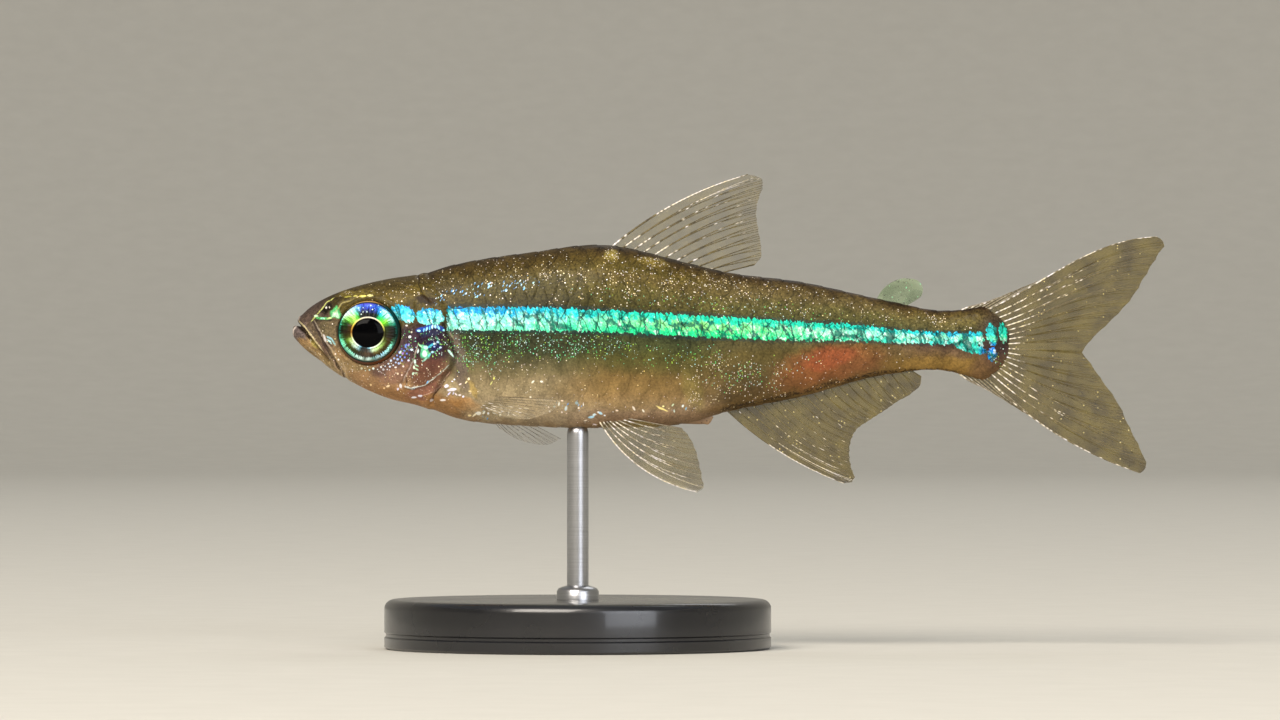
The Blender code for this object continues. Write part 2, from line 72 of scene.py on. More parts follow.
eye_low, eye_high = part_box("eye_left")
NOSE_X = (eye_low.x + eye_high.x) / 2 / MM - EYE_ALONG    # world x of along = 0, in millimetres
EYE_Z = (eye_low.z + eye_high.z) / 2 / MM                 # world z of up = 0
print("nodes:", len(frame["nodes"]), "nose at", round(NOSE_X, 2), "eye height", round(EYE_Z, 2))

# %% [markdown]
# A few small tools serve everything below. Hex colours are sRGB, as a colour picker shows them, and
# Blender's shaders want linear light, so one function turns them. One function adds a node with its
# settings and its inputs. One makes a mesh object from points in the fish's millimetres.
# %% Tools
def linear(code):
    """Linear colour from an sRGB hex code."""
    parts = [int(code[k:k + 2], 16) / 255 for k in (1, 3, 5)]
    return tuple(c / 12.92 if c <= 0.04045 else ((c + 0.055) / 1.055) ** 2.4 for c in parts) + (1.0,)


def feed(tree, item, inputs):
    """Set inputs of a node, named or numbered, to values or link them to other nodes."""
    for key, value in inputs.items():
        if isinstance(value, bpy.types.NodeSocket):
            tree.links.new(value, item.inputs[key])
        else:
            item.inputs[key].default_value = value


def add(tree, kind, inputs=None, out=0, stops=None, points=None, **settings):
    """Add a node with its settings and inputs (values or links), and give back one of its outputs.

    `kind` is the node's own name, and after a colon its operation, or what a Mix node mixes: RGBA mixes
    colours 6 and 7 by share 0. A MapRange takes a value (0) from one range (1 to 2) to another (3 to 4).
    """
    kind, _, word = kind.partition(":")
    item = tree.nodes.new("ShaderNode" + kind)
    if word:
        setattr(item, "data_type" if kind == "Mix" else "operation", word)
    for name, value in settings.items():
        setattr(item, name, value)
    if stops:
        ramp = item.color_ramp
        ramp.elements.remove(ramp.elements[-1])
        for k, (place, code) in enumerate(stops):
            stop = ramp.elements.new(place) if k else ramp.elements[0]
            stop.position = place
            stop.color = linear(code)
    if points:
        curve = item.mapping.curves[0]
        curve.points[0].location = points[0]
        curve.points[1].location = points[-1]
        for point in points[1:-1]:
            curve.points.new(*point)
        item.mapping.update()
    feed(tree, item, inputs or {})
    return item.outputs[2 if word == "RGBA" else out]


def ring_faces(rings, steps):
    """Numbers of the points of a tube made of rings, those of their neighbours, and the faces."""
    index = np.arange(rings * steps).reshape(rings, steps)
    after = np.roll(index, -1, axis=1)
    return index, after, np.stack([index[:-1], after[:-1], after[1:], index[1:]], axis=-1).reshape(-1, 4)


def slab_faces(rows, columns):
    """Faces of a thin closed slab: a grid of points, the same grid below it, and the rim."""
    grid = np.arange(rows * columns).reshape(rows, columns)
    quads = np.stack([grid[:-1, :-1], grid[:-1, 1:], grid[1:, 1:], grid[1:, :-1]], axis=-1).reshape(-1, 4)
    loop = np.concatenate([grid[0, :], grid[1:, -1], grid[-1, -2::-1], grid[-2:0:-1, 0]])
    rim = np.stack([np.roll(loop, -1), loop, loop + grid.size, np.roll(loop, -1) + grid.size], axis=-1)
    return np.concatenate([quads, quads[:, ::-1] + grid.size, rim])


def new_piece(name, points, faces, material, sharp=40, centre=(-NOSE_X, 0.0, -EYE_Z)):
    """Mesh object from points (along, side, up) in millimetres, with its origin at `centre`."""
    places = (np.asarray(points, dtype=float).reshape(-1, 3) - centre) * MM
    mesh = bpy.data.meshes.new(name)
    mesh.from_pydata(places.tolist(), [], faces.tolist() if isinstance(faces, np.ndarray) else faces)
    mesh.validate()
    mesh.shade_smooth()
    mesh.set_sharp_from_angle(angle=math.radians(sharp))
    mesh.materials.append(material)
    piece = bpy.data.objects.new(name, mesh)
    piece.location = (np.array(centre) + (NOSE_X, 0.0, EYE_Z)) * MM
    bpy.context.scene.collection.objects.link(piece)
    return piece


def give_attribute(piece, name, values):
    """Store one number for each point of a piece, for its material to read."""
    layer = piece.data.attributes.new(name, "FLOAT", "POINT")
    layer.data.foreach_set("value", np.asarray(values, dtype=np.float32).ravel())


def give_bake_map(piece, coords):
    """UV map of a piece from one (u, v) for each point."""
    layer = piece.data.uv_layers.new(name="OFBake")
    corner_points = np.zeros(len(piece.data.loops), dtype=np.int32)
    piece.data.loops.foreach_get("vertex_index", corner_points)
    layer.uv.foreach_set("vector", np.asarray(coords, dtype=np.float32)[corner_points].ravel())


def ease(value, start, end):
    """Smooth step from 0 at start to 1 at end."""
    t = np.clip((value - start) / (end - start), 0.0, 1.0)
    return t * t * (3 - 2 * t)


print("lime in linear light:", [round(c, 3) for c in linear("#9ad860")])

# %% [markdown]
# The body is a row of cross-sections: back line, belly line, half width and the height of the widest
# point, read by a smooth curve. The same numbers carry the solids, so the dressed fish fills them.
# Points on the skin are found by `station` (how far along) and `girth` (0 on the back, 1 on the
# belly, by length of skin), which later gives the scales even rows.
# %% Body form
BODY_SECTIONS = (
    (0.0, .08, .08, 0.0, .08), (.24, .54, -.38, .4, .06), (.6, .87, -.7, .63, .02),
    (1.65, 1.39, -1.45, .95, -.05), (3.2, 1.78, -2.15, 1.17, -.12), (4.04, 1.91, -2.35, 1.26, -.2),
    (5.2, 2.23, -2.76, 1.34, -.28), (7.6, 2.62, -3.03, 1.41, -.35), (10.2, 2.86, -3.08, 1.38, -.36),
    (12.9, 2.25, -2.89, 1.16, -.32), (13.9, 2.01, -2.6, 1.07, -.28), (16.44, 1.67, -2.07, .82, -.2),
    (19.3, 1.05, -1.34, .56, -.16), (21.0, .75, -1.23, .46, -.2), (22.1, .85, -1.5, .42, -.24),
    (23.2, 1.18, -1.85, .36, -.28),
)
BACK, BELLY, HALF_WIDTH, MIDDLE = 1, 2, 3, 4
CROWN_FLATNESS = 0.8    # how much squarer the section is over the eyes than an ellipse
CROWN_CENTRE = 2.5
CROWN_REACH = 1.6
BODY_END = 23.15        # rear of the fleshy tail stem
TAIL_END = ((-1.6, 22.25), (-1.2, 22.8), (-0.4, 23.15), (0.4, 22.95), (0.95, 22.25))
TAIL_BEND_REACH = 2.4
TAIL_TAPER = 0.9        # length over which the stem thins to its rear edge
GILL_SEAM = ((-2.6, 4.28), (-1.9, 4.62), (-1.2, 5.04), (-.7, 5.28), (-.1, 5.08), (.65, 4.88), (1.4, 4.45),
    (2.1, 4.12))
STATION_STEPS = 300
TURN_STEPS = 180
GIRTH_STEPS = 120


def smooth_through(points, where):
    """Read a smooth curve through (place, value) points."""
    places, values = np.array(points, dtype=float).T
    slopes = np.gradient(values, places)
    where = np.clip(where, places[0], places[-1])
    left = np.clip(np.searchsorted(places, where) - 1, 0, len(places) - 2)
    span = places[left + 1] - places[left]
    t = (where - places[left]) / span
    rise = values[left] * (2 * t**3 - 3 * t**2 + 1) + values[left + 1] * (3 * t**2 - 2 * t**3)
    lean = slopes[left] * (t**3 - 2 * t**2 + t) + slopes[left + 1] * (t**3 - t**2)
    return rise + span * lean


def body_line(along, column):
    """Back line, belly line, half width or middle height of the body at a place along it."""
    points = [(math.sqrt(row[0]), row[column]) for row in BODY_SECTIONS]
    return smooth_through(points, np.sqrt(np.maximum(along, 0.0)))


def section_point(along, turn):
    """Side and up of the skin at an angle `turn` from the back (0) to the belly (pi)."""
    middle = body_line(along, MIDDLE)
    upper = turn <= math.pi / 2
    reach = np.where(upper, body_line(along, BACK) - middle, middle - body_line(along, BELLY))
    power = 2.0 + np.where(upper, CROWN_FLATNESS, 0.0) * np.exp(-((along - CROWN_CENTRE) / CROWN_REACH) ** 2)
    height = np.abs(np.cos(turn)) ** (2 / power) * reach
    side = body_line(along, HALF_WIDTH) * np.abs(np.sin(turn)) ** (2 / power)
    return side, middle + np.where(upper, height, -height)


station_list = np.linspace(0.001, BODY_END, STATION_STEPS)
turn_list = np.linspace(0.0, math.pi, TURN_STEPS + 1)
table_side, table_up = section_point(*np.meshgrid(station_list, turn_list, indexing="ij"))
arcs = np.cumsum(np.hypot(np.diff(table_side, axis=1), np.diff(table_up, axis=1)), axis=1)
arcs = np.concatenate([np.zeros((STATION_STEPS, 1)), arcs], axis=1)
girth_list = np.linspace(0.0, 1.0, GIRTH_STEPS + 1)
turn_table = np.array([np.interp(girth_list, arc / arc[-1], turn_list) for arc in arcs])


def turn_at(station, girth):
    """Angle in the section at a share of the skin's length from back to belly."""
    row = np.clip((station - station_list[0]) / (station_list[1] - station_list[0]), 0, STATION_STEPS - 1.001)
    column = np.clip(girth, 0.0, 1.0) * (GIRTH_STEPS - 0.001)
    i, j = row.astype(int), column.astype(int)
    a, b = row - i, column - j
    near = turn_table[i, j] * (1 - b) + turn_table[i, j + 1] * b
    far = turn_table[i + 1, j] * (1 - b) + turn_table[i + 1, j + 1] * b
    return near * (1 - a) + far * a


def half_girth(station):
    """Length of the skin from back to belly."""
    return np.interp(station, station_list, arcs[:, -1])


def body_point(station, girth):
    """Points (along, side, up) of the right flank's surface."""
    station, girth = np.broadcast_arrays(np.asarray(station, float), np.asarray(girth, float))
    turn = turn_at(station, girth)
    fade = np.clip(1.0 - (BODY_END - station) / TAIL_BEND_REACH, 0.0, 1.0) ** 1.5
    along = station
    for _ in range(4):
        side, up = section_point(along, turn)
        along = station + (smooth_through(TAIL_END, up) - BODY_END) * fade
    side, up = section_point(along, turn)
    thin = np.clip((station - BODY_END + TAIL_TAPER) / TAIL_TAPER, 0.0, 1.0)
    side = side * (1.0 - 0.9 * thin**2)
    return np.stack([along, side, up], axis=-1)


def body_normal(station, girth):
    """Outward directions of the right flank's surface."""
    reach = 0.01
    run = body_point(station + reach, girth) - body_point(np.maximum(station - reach, 0.0005), girth)
    round_ = body_point(station, np.minimum(girth + reach, 1.0)) - body_point(station, np.maximum(girth - reach, 0.0))
    normal = np.cross(round_, run)
    normal /= np.maximum(np.linalg.norm(normal, axis=-1, keepdims=True), 1e-12)
    centre = np.stack([body_point(station, girth)[..., 0] * 0, normal[..., 1] * 0, body_line(station, MIDDLE)], -1)
    outward = body_point(station, girth) - centre
    outward[..., 0] = 0.0
    flip = np.sign(np.sum(normal * outward, axis=-1, keepdims=True))
    return normal * np.where(flip == 0, 1.0, flip)


print("skin from back to belly at mid-body:", round(float(half_girth(10.0)), 2), "mm")

# %% [markdown]
# The head has no scales, so its detail is in the skin itself: the socket round the eye, the mouth
# cleft with its lips, nostrils, the plates of the cheek and the edge of the gill cover. Each is a
# groove (negative) or ridge (positive) beside a short line drawn on the side of the head, and the
# skin is pushed in or out along its own normal. A fine grid carries that better than sculpting by
# hand, because it is the same on both sides and can be measured.
# %% Head relief
COAT_DEPTH = 0.055      # room that the scales take on the body
HEAD_SINK = 0.008
SOCKET_RADIUS = 1.06
SOCKET_DEPTH = 0.62
# Lines on the head: height of the ridge or groove, its width, and its points (along, up)
HEAD_LINES = {
    "mouth front": (-.22, .062, ((-.3, .52), (.13, .3), (.4, 0.0))),
    "mouth side": (-.16, .05, ((.4, 0.0), (.86, -.58), (1.16, -.94))),
    "upper lip edge": (.035, .05, ((.2, .56), (.4, .22), (.7, -.18), (.95, -.5))),
    "upper jaw bone": (-.05, .035, ((.66, .42), (.99, -.25), (1.28, -.76), (1.5, -1.18))),
    "jaw fold": (-.03, .035, ((1.13, -.45), (1.45, -1.0), (1.75, -1.55))),
    "chin fold": (-.025, .04, ((.62, -.62), (1.05, -1.1), (1.6, -1.55))),
    "nose ridge": (.03, .035, ((.83, .6), (1.11, .99), (1.34, 1.13))),
    "brow": (.03, .06, ((1.45, .98), (2.1, 1.22), (2.9, 1.18), (3.45, .85))),
    "cheek plate edge": (-.04, .04, ((4.1, -.48), (3.97, -.84), (3.74, -1.26), (3.58, -1.6))),
    "cheek plate rim": (.03, .04, ((3.98, -.46), (3.86, -.84), (3.63, -1.26), (3.5, -1.56))),
    "upper gill arc": (.035, .03, ((3.64, -1.72), (3.86, -1.77), (4.2, -1.69), (4.54, -1.5),
        (4.82, -1.29), (5.04, -1.07))),
    "upper arc shadow": (-.03, .03, ((3.7, -1.84), (4.2, -1.79), (4.56, -1.6), (4.88, -1.37))),
    "lower gill arc": (.03, .03, ((4.1, -2.02), (4.3, -2.0), (4.54, -1.89), (4.82, -1.66),
        (5.03, -1.34))),
    "block seam": (-.02, .03, ((3.98, .95), (4.02, .3), (4.05, -.2))),
    "nape": (-.03, .06, ((4.02, 1.95), (4.18, 1.35), (4.5, 1.05))),
}
NOSTRILS = ((1.02, 0.7, 0.075), (1.17, 0.8, 0.06))      # along, up, radius
LOWER_LIP = (0.13, -0.02, 0.17)


def line_distance(along, up, line):
    """Distance of points from a line drawn on the side of the fish."""
    best = np.full(np.shape(along), np.inf)
    for (a0, u0), (a1, u1) in zip(line, line[1:]):
        run_a, run_u = a1 - a0, u1 - u0
        share = np.clip(((along - a0) * run_a + (up - u0) * run_u) / (run_a**2 + run_u**2), 0, 1)
        best = np.minimum(best, np.hypot(along - a0 - run_a * share, up - u0 - run_u * share))
    return best


def hill(distance, width):
    """Soft bell from 1 at the line to 0 away from it."""
    return np.exp(-(distance / width) ** 2)


def skin_relief(along, up):
    """How far the skin stands off the solids' surface, in millimetres."""
    behind = along - smooth_through(GILL_SEAM, up)
    relief = -HEAD_SINK - (COAT_DEPTH - HEAD_SINK) * ease(behind, 0.0, 0.25)
    opening = ease(up, 0.75, 0.4) * ease(up, -2.45, -2.1)
    relief += opening * (0.045 * hill(behind + 0.12, 0.13) - 0.17 * hill(behind - 0.06, 0.075))
    for rise, width, line in HEAD_LINES.values():
        relief += rise * hill(line_distance(along, up, line), width)
    for centre_a, centre_u, radius in NOSTRILS:
        relief -= 0.1 * hill(np.hypot(along - centre_a, up - centre_u), radius)
    relief += 0.045 * hill(np.hypot(along - LOWER_LIP[0], up - LOWER_LIP[1]), LOWER_LIP[2])
    eye_reach = np.hypot(along - EYE_ALONG - 0.03, up)
    relief += 0.035 * hill(eye_reach - 1.13, 0.05)
    relief -= SOCKET_DEPTH * ease(eye_reach, SOCKET_RADIUS, SOCKET_RADIUS - 0.1)
    return relief


print("relief beside the eye:", round(float(skin_relief(np.array(EYE_ALONG), np.array(1.1))), 3), "mm")

# %% [markdown]
# One skin covers head, jaw, gill covers, trunk and tail stem, so no seam shows. It is a grid of
# rings, closest on the head where the relief is fine, and it stays under 200,000 triangles.
# %% Skin mesh
RIBS = 100              # spaces from back to belly on each side
TIP_RINGS = 18
FINE_STEP = 0.024
BODY_STEP = 0.092
FINE_END = 5.6


def skin_stations():
    """Places of the skin's rings from the nose to the tail stem's end."""
    tip = 0.24 * (np.arange(1, TIP_RINGS + 1) / TIP_RINGS) ** 2
    head = np.arange(0.24 + FINE_STEP, FINE_END, FINE_STEP)
    body = np.linspace(FINE_END, BODY_END, int((BODY_END - FINE_END) / BODY_STEP))
    return np.concatenate([tip, head, body])


def skin_surface():
    """Points of the right half of the skin, one row for each ring."""
    station, girth = np.meshgrid(skin_stations(), np.linspace(0.0, 1.0, RIBS + 1), indexing="ij")
    points = body_point(station, girth)
    normals = body_normal(station, girth)
    points += normals * skin_relief(points[..., 0], points[..., 2])[..., None]
    points[:, 0, 1] = 0.0
    points[:, -1, 1] = 0.0
    points[..., 1] = np.maximum(points[..., 1], 0.0)
    return points


def build_skin(material):
    """The closed skin as one mesh."""
    right = skin_surface()
    left = right * (1.0, -1.0, 1.0)
    rings = np.concatenate([left, right[:, -2:0:-1]], axis=1)
    rows, count = rings.shape[:2]
    points = np.concatenate([rings.reshape(-1, 3), [(0.0, 0.0, 0.08)]])
    index, after, quads = ring_faces(rows, count)
    faces = [tuple(face) for face in quads.tolist()]
    pole = rows * count
    faces += [(pole, int(b), int(a)) for a, b in zip(index[0], after[0])]
    last = index[-1]
    faces += [(int(last[k]), int(last[k + 1]), int(last[-k - 1]), int(last[-k])) for k in range(1, RIBS - 1)]
    faces += [(int(last[a]), int(last[b]), int(last[c])) for a, b, c in ((0, 1, -1), (RIBS - 1, RIBS, RIBS + 1))]
    skin = bpy.data.meshes.new("skin")
    skin.from_pydata(((points + (NOSE_X, 0.0, EYE_Z)) * MM).tolist(), [], faces)
    skin.flip_normals()
    skin.shade_smooth()
    skin.materials.append(material)
    piece = bpy.data.objects.new("skin", skin)
    bpy.context.scene.collection.objects.link(piece)
    share = np.linspace(0.0, 1.0, count, endpoint=False)
    stations = skin_stations()
    coords = np.stack(np.meshgrid(stations / BODY_END, share, indexing="ij"), axis=-1).reshape(-1, 2)
    give_bake_map(piece, np.concatenate([coords, [(0.0, 0.5)]]))
    return piece


# %% [markdown]
# Scales grow in rows, each row half a scale out of step with its neighbours, and lie like roof tiles
# with their free edge towards the tail. Each one here is a thin closed plate set on the body's own
# surface, its root sunk and its rear edge raised, so the tiles overlap without crossing. The species
# has about thirty in a row and eleven rows a side. They end at the gill opening, because the head
# is bare.
# %% Scales
SCALE_ROWS = 11
SCALE_PITCH = 0.66      # distance between scales of one row, in millimetres
SCALE_COLUMNS = 9       # points across a plate
SCALE_LENGTHS = 9       # points along a plate
PLATE_LENGTH = 1.62     # length and width of a plate, as shares of the distance between plates
PLATE_WIDTH = 1.16
PLATE_ROOT = 0.4        # share of the length that lies in front of the plate's own place
PLATE = 0.009           # thickness of a plate
BAKE_PATCH = 0.003


def scale_pitch(station):
    """Spacing of the scales along a row, closer on the tail stem."""
    return SCALE_PITCH - 0.18 * ease(station, 17.0, 22.0)


def scale_roots(draw):
    """Stations and girths of the plates of one flank."""
    roots = []
    for row in range(SCALE_ROWS):
        girth = (row + 0.5) / SCALE_ROWS
        station = 4.0 + (row % 2) * SCALE_PITCH / 2
        while station < BODY_END - 0.35:
            along, _, up = body_point(station, girth)
            if along > smooth_through(GILL_SEAM, up) + 0.42:
                shift = draw.normal(0.0, 0.02, 2)
                roots.append((station + shift[0], girth + 0.05 * shift[1]))
            station += scale_pitch(station)
    return np.array(roots)


def scale_plates(roots, side_sign, draw):
    """Points, faces, rim distance, tone and bake coordinates of many plates."""
    s, w = np.meshgrid(np.linspace(0, 1, SCALE_LENGTHS) ** 0.8, np.linspace(-1, 1, SCALE_COLUMNS), indexing="ij")
    outline = (1 - np.abs(2 * s - 0.96).clip(0, 1) ** 2.6) ** (1 / 2.0)
    outline = np.maximum(outline, 0.12)
    station0, girth0 = roots[:, 0, None, None], roots[:, 1, None, None]
    pitch = scale_pitch(station0)
    half_width = PLATE_WIDTH * half_girth(station0) / SCALE_ROWS
    station = station0 + (s - PLATE_ROOT) * PLATE_LENGTH * pitch
    girth = girth0 + w * outline * half_width / half_girth(station0)
    station = np.minimum(station, BODY_END - 0.02)
    girth = np.clip(girth, 0.004, 0.996)
    points = body_point(station, girth)
    normals = body_normal(station, girth)
    lift = -COAT_DEPTH + 0.006 + 0.034 * s + 0.006 * (1 - w**2)
    top = points + normals * lift[..., None]
    under = points + normals * (lift - PLATE)[..., None]
    both = np.stack([top, under], axis=1)
    both[..., 1] *= side_sign
    plate = slab_faces(SCALE_LENGTHS, SCALE_COLUMNS)
    if side_sign < 0:
        plate = plate[:, ::-1]
    faces = (plate[None] + np.arange(len(roots))[:, None, None] * 2 * s.size).reshape(-1, 4)
    edge = np.minimum(1 - np.abs(w), (1 - s) * 1.6) * np.ones((len(roots), 2, 1, 1))
    tone = draw.random((len(roots), 1, 1, 1)) * np.ones((1, 2) + s.shape)
    u = station0 / BODY_END + BAKE_PATCH * (s - 0.5)
    v = 0.5 * (girth0 if side_sign < 0 else 2 - girth0) + BAKE_PATCH * 0.5 * w
    coords = np.stack(np.broadcast_arrays(u, v), axis=-1)
    coords = np.stack([coords, coords], axis=1).reshape(-1, 2)
    return both.reshape(-1, 3), faces, edge.ravel(), tone.ravel(), coords


def build_scales(material):
    """Four pieces of scales: the back and the belly half of each flank."""
    pieces = []
    for sign, label, seed in ((-1, "left", 11), (1, "right", 23)):
        draw = np.random.default_rng(seed)
        roots = scale_roots(draw)
        upper = roots[:, 1] < 0.5
        for part, chosen in (("back", upper), ("belly", ~upper)):
            points, faces, edge, tone, coords = scale_plates(roots[chosen], sign, draw)
            piece = new_piece(f"scales_{label}_{part}", points, faces, material, sharp=35)
            give_attribute(piece, "rim", edge)
            give_attribute(piece, "tone", tone)
            give_bake_map(piece, coords)
            pieces.append(piece)
            print(piece.name, int(chosen.sum()), "scales", 2 * len(faces), "triangles")
    return pieces

# %% [markdown]
# Skin and scales carry one set of markings, painted by nodes from each point's own place on the
# fish, so they agree wherever a scale lies over the skin. The ground colour runs from back to belly
# by colour ramps, one for each length of the body, with a painted warm cast of the light. Soft oval
# patches then shade it, thin ones draw the lines of the head, some of them painted shade in its
# grooves, and small crystals on top are painted bright as glints. Ovals with names and sizes were
# chosen over painting by hand, because every one can be moved or recoloured in a single line.
# %% Ground colours
STRIPE_CENTRE = ((4.0, .46), (7.4, .45), (9.5, .4), (11.0, .33), (13.8, .18), (16.4, .055), (18.4, -.015),
    (19.7, -.125), (21.1, -.168), (22.4, -.2))
STRIPE_HALF = ((4.0, .36), (7.4, .373), (9.5, .36), (11.0, .345), (13.8, .34), (16.4, .3), (18.4, .25),
    (19.7, .21), (21.1, .19), (22.4, .2))
STRIPE_START = 5.0
STRIPE_STOP = 22.3
LINE_LENGTH = 24.0      # range of along that a painted line covers
LINE_REACH = 3.2        # and its range of up
GROUND_LIGHT = 0.86     # how bright the ground stays beside the crystals
# Ramps from the belly line (0) to the back line (1): the fish's own darker back and paler belly, with a painted warm
# cast of the light
HEAD_GROUND = ((0.0, "#a8804c"), (.12, "#b49068"), (.25, "#a08058"), (.4, "#86724a"), (.52, "#62553a"),
    (.65, "#50461f"), (.78, "#564a20"), (.88, "#4e421a"), (.95, "#3c3118"), (1.0, "#281e12"))
FRONT_GROUND = ((0.0, "#a68458"), (.06, "#b8a486"), (.12, "#ae9a78"), (.2, "#a2916e"), (.27, "#928260"),
    (.31, "#7e7250"), (.36, "#5e583c"), (.41, "#4c4c30"), (.47, "#42442a"), (.53, "#383c24"),
    (.6, "#31331f"), (.71, "#443e1f"), (.76, "#504824"), (.82, "#544c26"), (.88, "#584c28"),
    (.93, "#4c3e1a"), (.98, "#403216"), (1.0, "#2a2010"))
MIDDLE_GROUND = ((0.0, "#8a6c44"), (.04, "#927654"), (.09, "#a08868"), (.14, "#a08862"), (.18, "#987e56"),
    (.22, "#8c744a"), (.27, "#7a643c"), (.31, "#685830"), (.36, "#5c552c"), (.41, "#525026"),
    (.46, "#464a28"), (.53, "#343a22"), (.66, "#48421f"), (.71, "#565028"), (.8, "#5c5228"),
    (.84, "#64562e"), (.88, "#5c5022"), (.93, "#54461e"), (.97, "#403218"), (1.0, "#2a2010"))
REAR_GROUND = ((0.0, "#6c5430"), (.05, "#745a32"), (.12, "#6c5434"), (.2, "#645434"), (.3, "#605430"),
    (.4, "#5e522c"), (.46, "#585030"), (.66, "#484828"), (.72, "#56522c"), (.78, "#5a542c"),
    (.85, "#625632"), (.92, "#564828"), (.97, "#40321a"), (1.0, "#281e10"))
STEM_GROUND = ((0.0, "#8a6a34"), (.1, "#8a6c38"), (.22, "#7c6236"), (.33, "#6a543c"), (.44, "#4a3630"),
    (.64, "#4a482a"), (.72, "#5a5430"), (.8, "#665c32"), (.9, "#564822"), (.96, "#3c2e18"),
    (1.0, "#241a0e"))
# Each length of the body fades into the next between two places along it
GROUNDS = ((HEAD_GROUND, 0.0, .1), (FRONT_GROUND, 4.4, 5.2), (MIDDLE_GROUND, 8.0, 10.5), (REAR_GROUND, 12.5, 14.5),
    (STEM_GROUND, 18.5, 20.5))


def body_outline(column):
    """The back or the belly line as points for a painted line."""
    places = np.linspace(0.05, BODY_END, 16)
    return [(float(a), float(body_line(a, column))) for a in places]


def painted_line(tree, along, points):
    """Height of a line drawn along the fish, at each place along it."""
    share = add(tree, "Math:DIVIDE", {0: along, 1: LINE_LENGTH})
    places = [(a / LINE_LENGTH, 0.5 + 0.5 * u / LINE_REACH) for a, u in points]
    read = add(tree, "FloatCurve", {"Value": share}, points=places)
    return add(tree, "Math:MULTIPLY_ADD", {0: read, 1: 2 * LINE_REACH, 2: -LINE_REACH})


def oval(tree, where, patch, soft=0.35, strength=1.0):
    """Mask of a soft oval (along, up, half length, half height, tilt in degrees) at (along, 1, up)."""
    along, up, length, height, tilt = patch[:5]
    cos, sin = math.cos(math.radians(tilt)), math.sin(math.radians(tilt))
    long_way = (cos / length, -(along * cos + up * sin) / length, sin / length)
    short_way = (-sin / height, (along * sin - up * cos) / height, cos / height)
    p = add(tree, "VectorMath:DOT_PRODUCT", {0: where, 1: long_way}, out="Value")
    q = add(tree, "VectorMath:DOT_PRODUCT", {0: where, 1: short_way}, out="Value")
    square = add(tree, "Math:MULTIPLY", {0: p, 1: p})
    square = add(tree, "Math:MULTIPLY_ADD", {0: q, 1: q, 2: square})
    return add(tree, "MapRange", {0: square, 1: (1 + soft)**2, 2: (1 - soft)**2,
        4: strength}, interpolation_type="SMOOTHSTEP")


def new_group(name, inputs, result):
    """Node group with these inputs and one result: its tree, its input sockets and the socket of the result."""
    tree = bpy.data.node_groups.new(name, "ShaderNodeTree")
    for label, kind in inputs:
        tree.interface.new_socket(label, in_out="INPUT", socket_type=kind)
    tree.interface.new_socket(result[0], in_out="OUTPUT", socket_type=result[1])
    sources = tree.nodes.new("NodeGroupInput").outputs
    return tree, sources, tree.nodes.new("NodeGroupOutput").inputs[0]


GROUP_SIZE = 20         # patches in one node group, because a very long tree is slow to build
patch_groups = {}


def lay_patches(tree, where, colour, patches, soft=0.35):
    """Lay coloured ovals over a colour, in order: (oval..., hex, strength)."""
    for start in range(0, len(patches), GROUP_SIZE):
        part = (tuple(patches[start:start + GROUP_SIZE]), soft)
        if part not in patch_groups:
            group, (place, under, _), result = new_group("patches", (("Place", "NodeSocketVector"),
                ("Colour", "NodeSocketColor")), ("Colour", "NodeSocketColor"))
            # Adding none of the colour changes nothing, but makes the masks wait until the colour below them
            # is known: Cycles can only hold some 250 numbers at a time, and it works out the rest too early
            place = add(group, "VectorMath:MULTIPLY_ADD", {0: under, 1: (0.0, 0.0, 0.0), 2: place})
            for patch in part[0]:
                mask = oval(group, place, patch, soft, patch[6])
                under = add(group, "Mix:RGBA", {0: mask, 6: under, 7: linear(patch[5])})
            group.links.new(under, result)
            patch_groups[part] = group
        colour = add(tree, "Group", {0: where, 1: colour}, node_tree=patch_groups[part])
    return colour


def stroke(points, width, code, strength):
    """Thin ovals that draw a line through points."""
    strokes = []
    for (a0, u0), (a1, u1) in zip(points, points[1:]):
        length = math.hypot(a1 - a0, u1 - u0) / 2 + 0.6 * width
        tilt = math.degrees(math.atan2(u1 - u0, a1 - a0))
        strokes.append(((a0 + a1) / 2, (u0 + u1) / 2, length, width, tilt, code, strength))
    return strokes


# Soft shading of the trunk and tail: along, up, half length, half height, tilt, colour, strength
BODY_PATCHES = (
    (7.5, -.35, 2.6, .35, -3, "#2c3020", .5), (10.9, -1.85, 2.1, .45, 0, "#94743f", .35),
    (9.6, -2.72, 3.4, .24, 0, "#a5866a", .5), (14.2, -1.6, 1.25, .62, 0, "#544628", .5),
    (12.9, -1.8, .28, .6, 20, "#8c8044", .45), (17.4, -.95, 1.5, .5, 8, "#88502e", .65),
    (16.5, -1.42, .95, .36, 10, "#84502a", .5), (20.5, -.98, 1.3, .2, 0, "#96763a", .5),
    (22.7, -.15, .5, .85, 0, "#3a2c2c", .75), (22.5, -1.15, .6, .4, 25, "#584030", .7),
    (10.3, 2.48, .2, .16, 0, "#cdb95c", .3), (11.6, 2.28, .42, .12, -8, "#b8a24c", .25),
    (5.38, -.88, .95, .2, -78, "#6c5e54", .85), (4.9, -2.35, 1.35, .3, -8, "#b0804c", .8),
    (5.88, -1.78, .28, .09, -58, "#c0a25a", .65), (6.5, -2.52, .95, .24, -4, "#c0b490", .6),
    (5.55, -2.28, .5, .2, -20, "#c08a4c", .55), (5.05, 1.3, .5, .48, 15, "#4c4226", .6),
    (17.3, -.8, .8, .3, 12, "#96482e", .5), (7.5, -2.55, 1.6, .4, -3, "#bca884", .6),
)
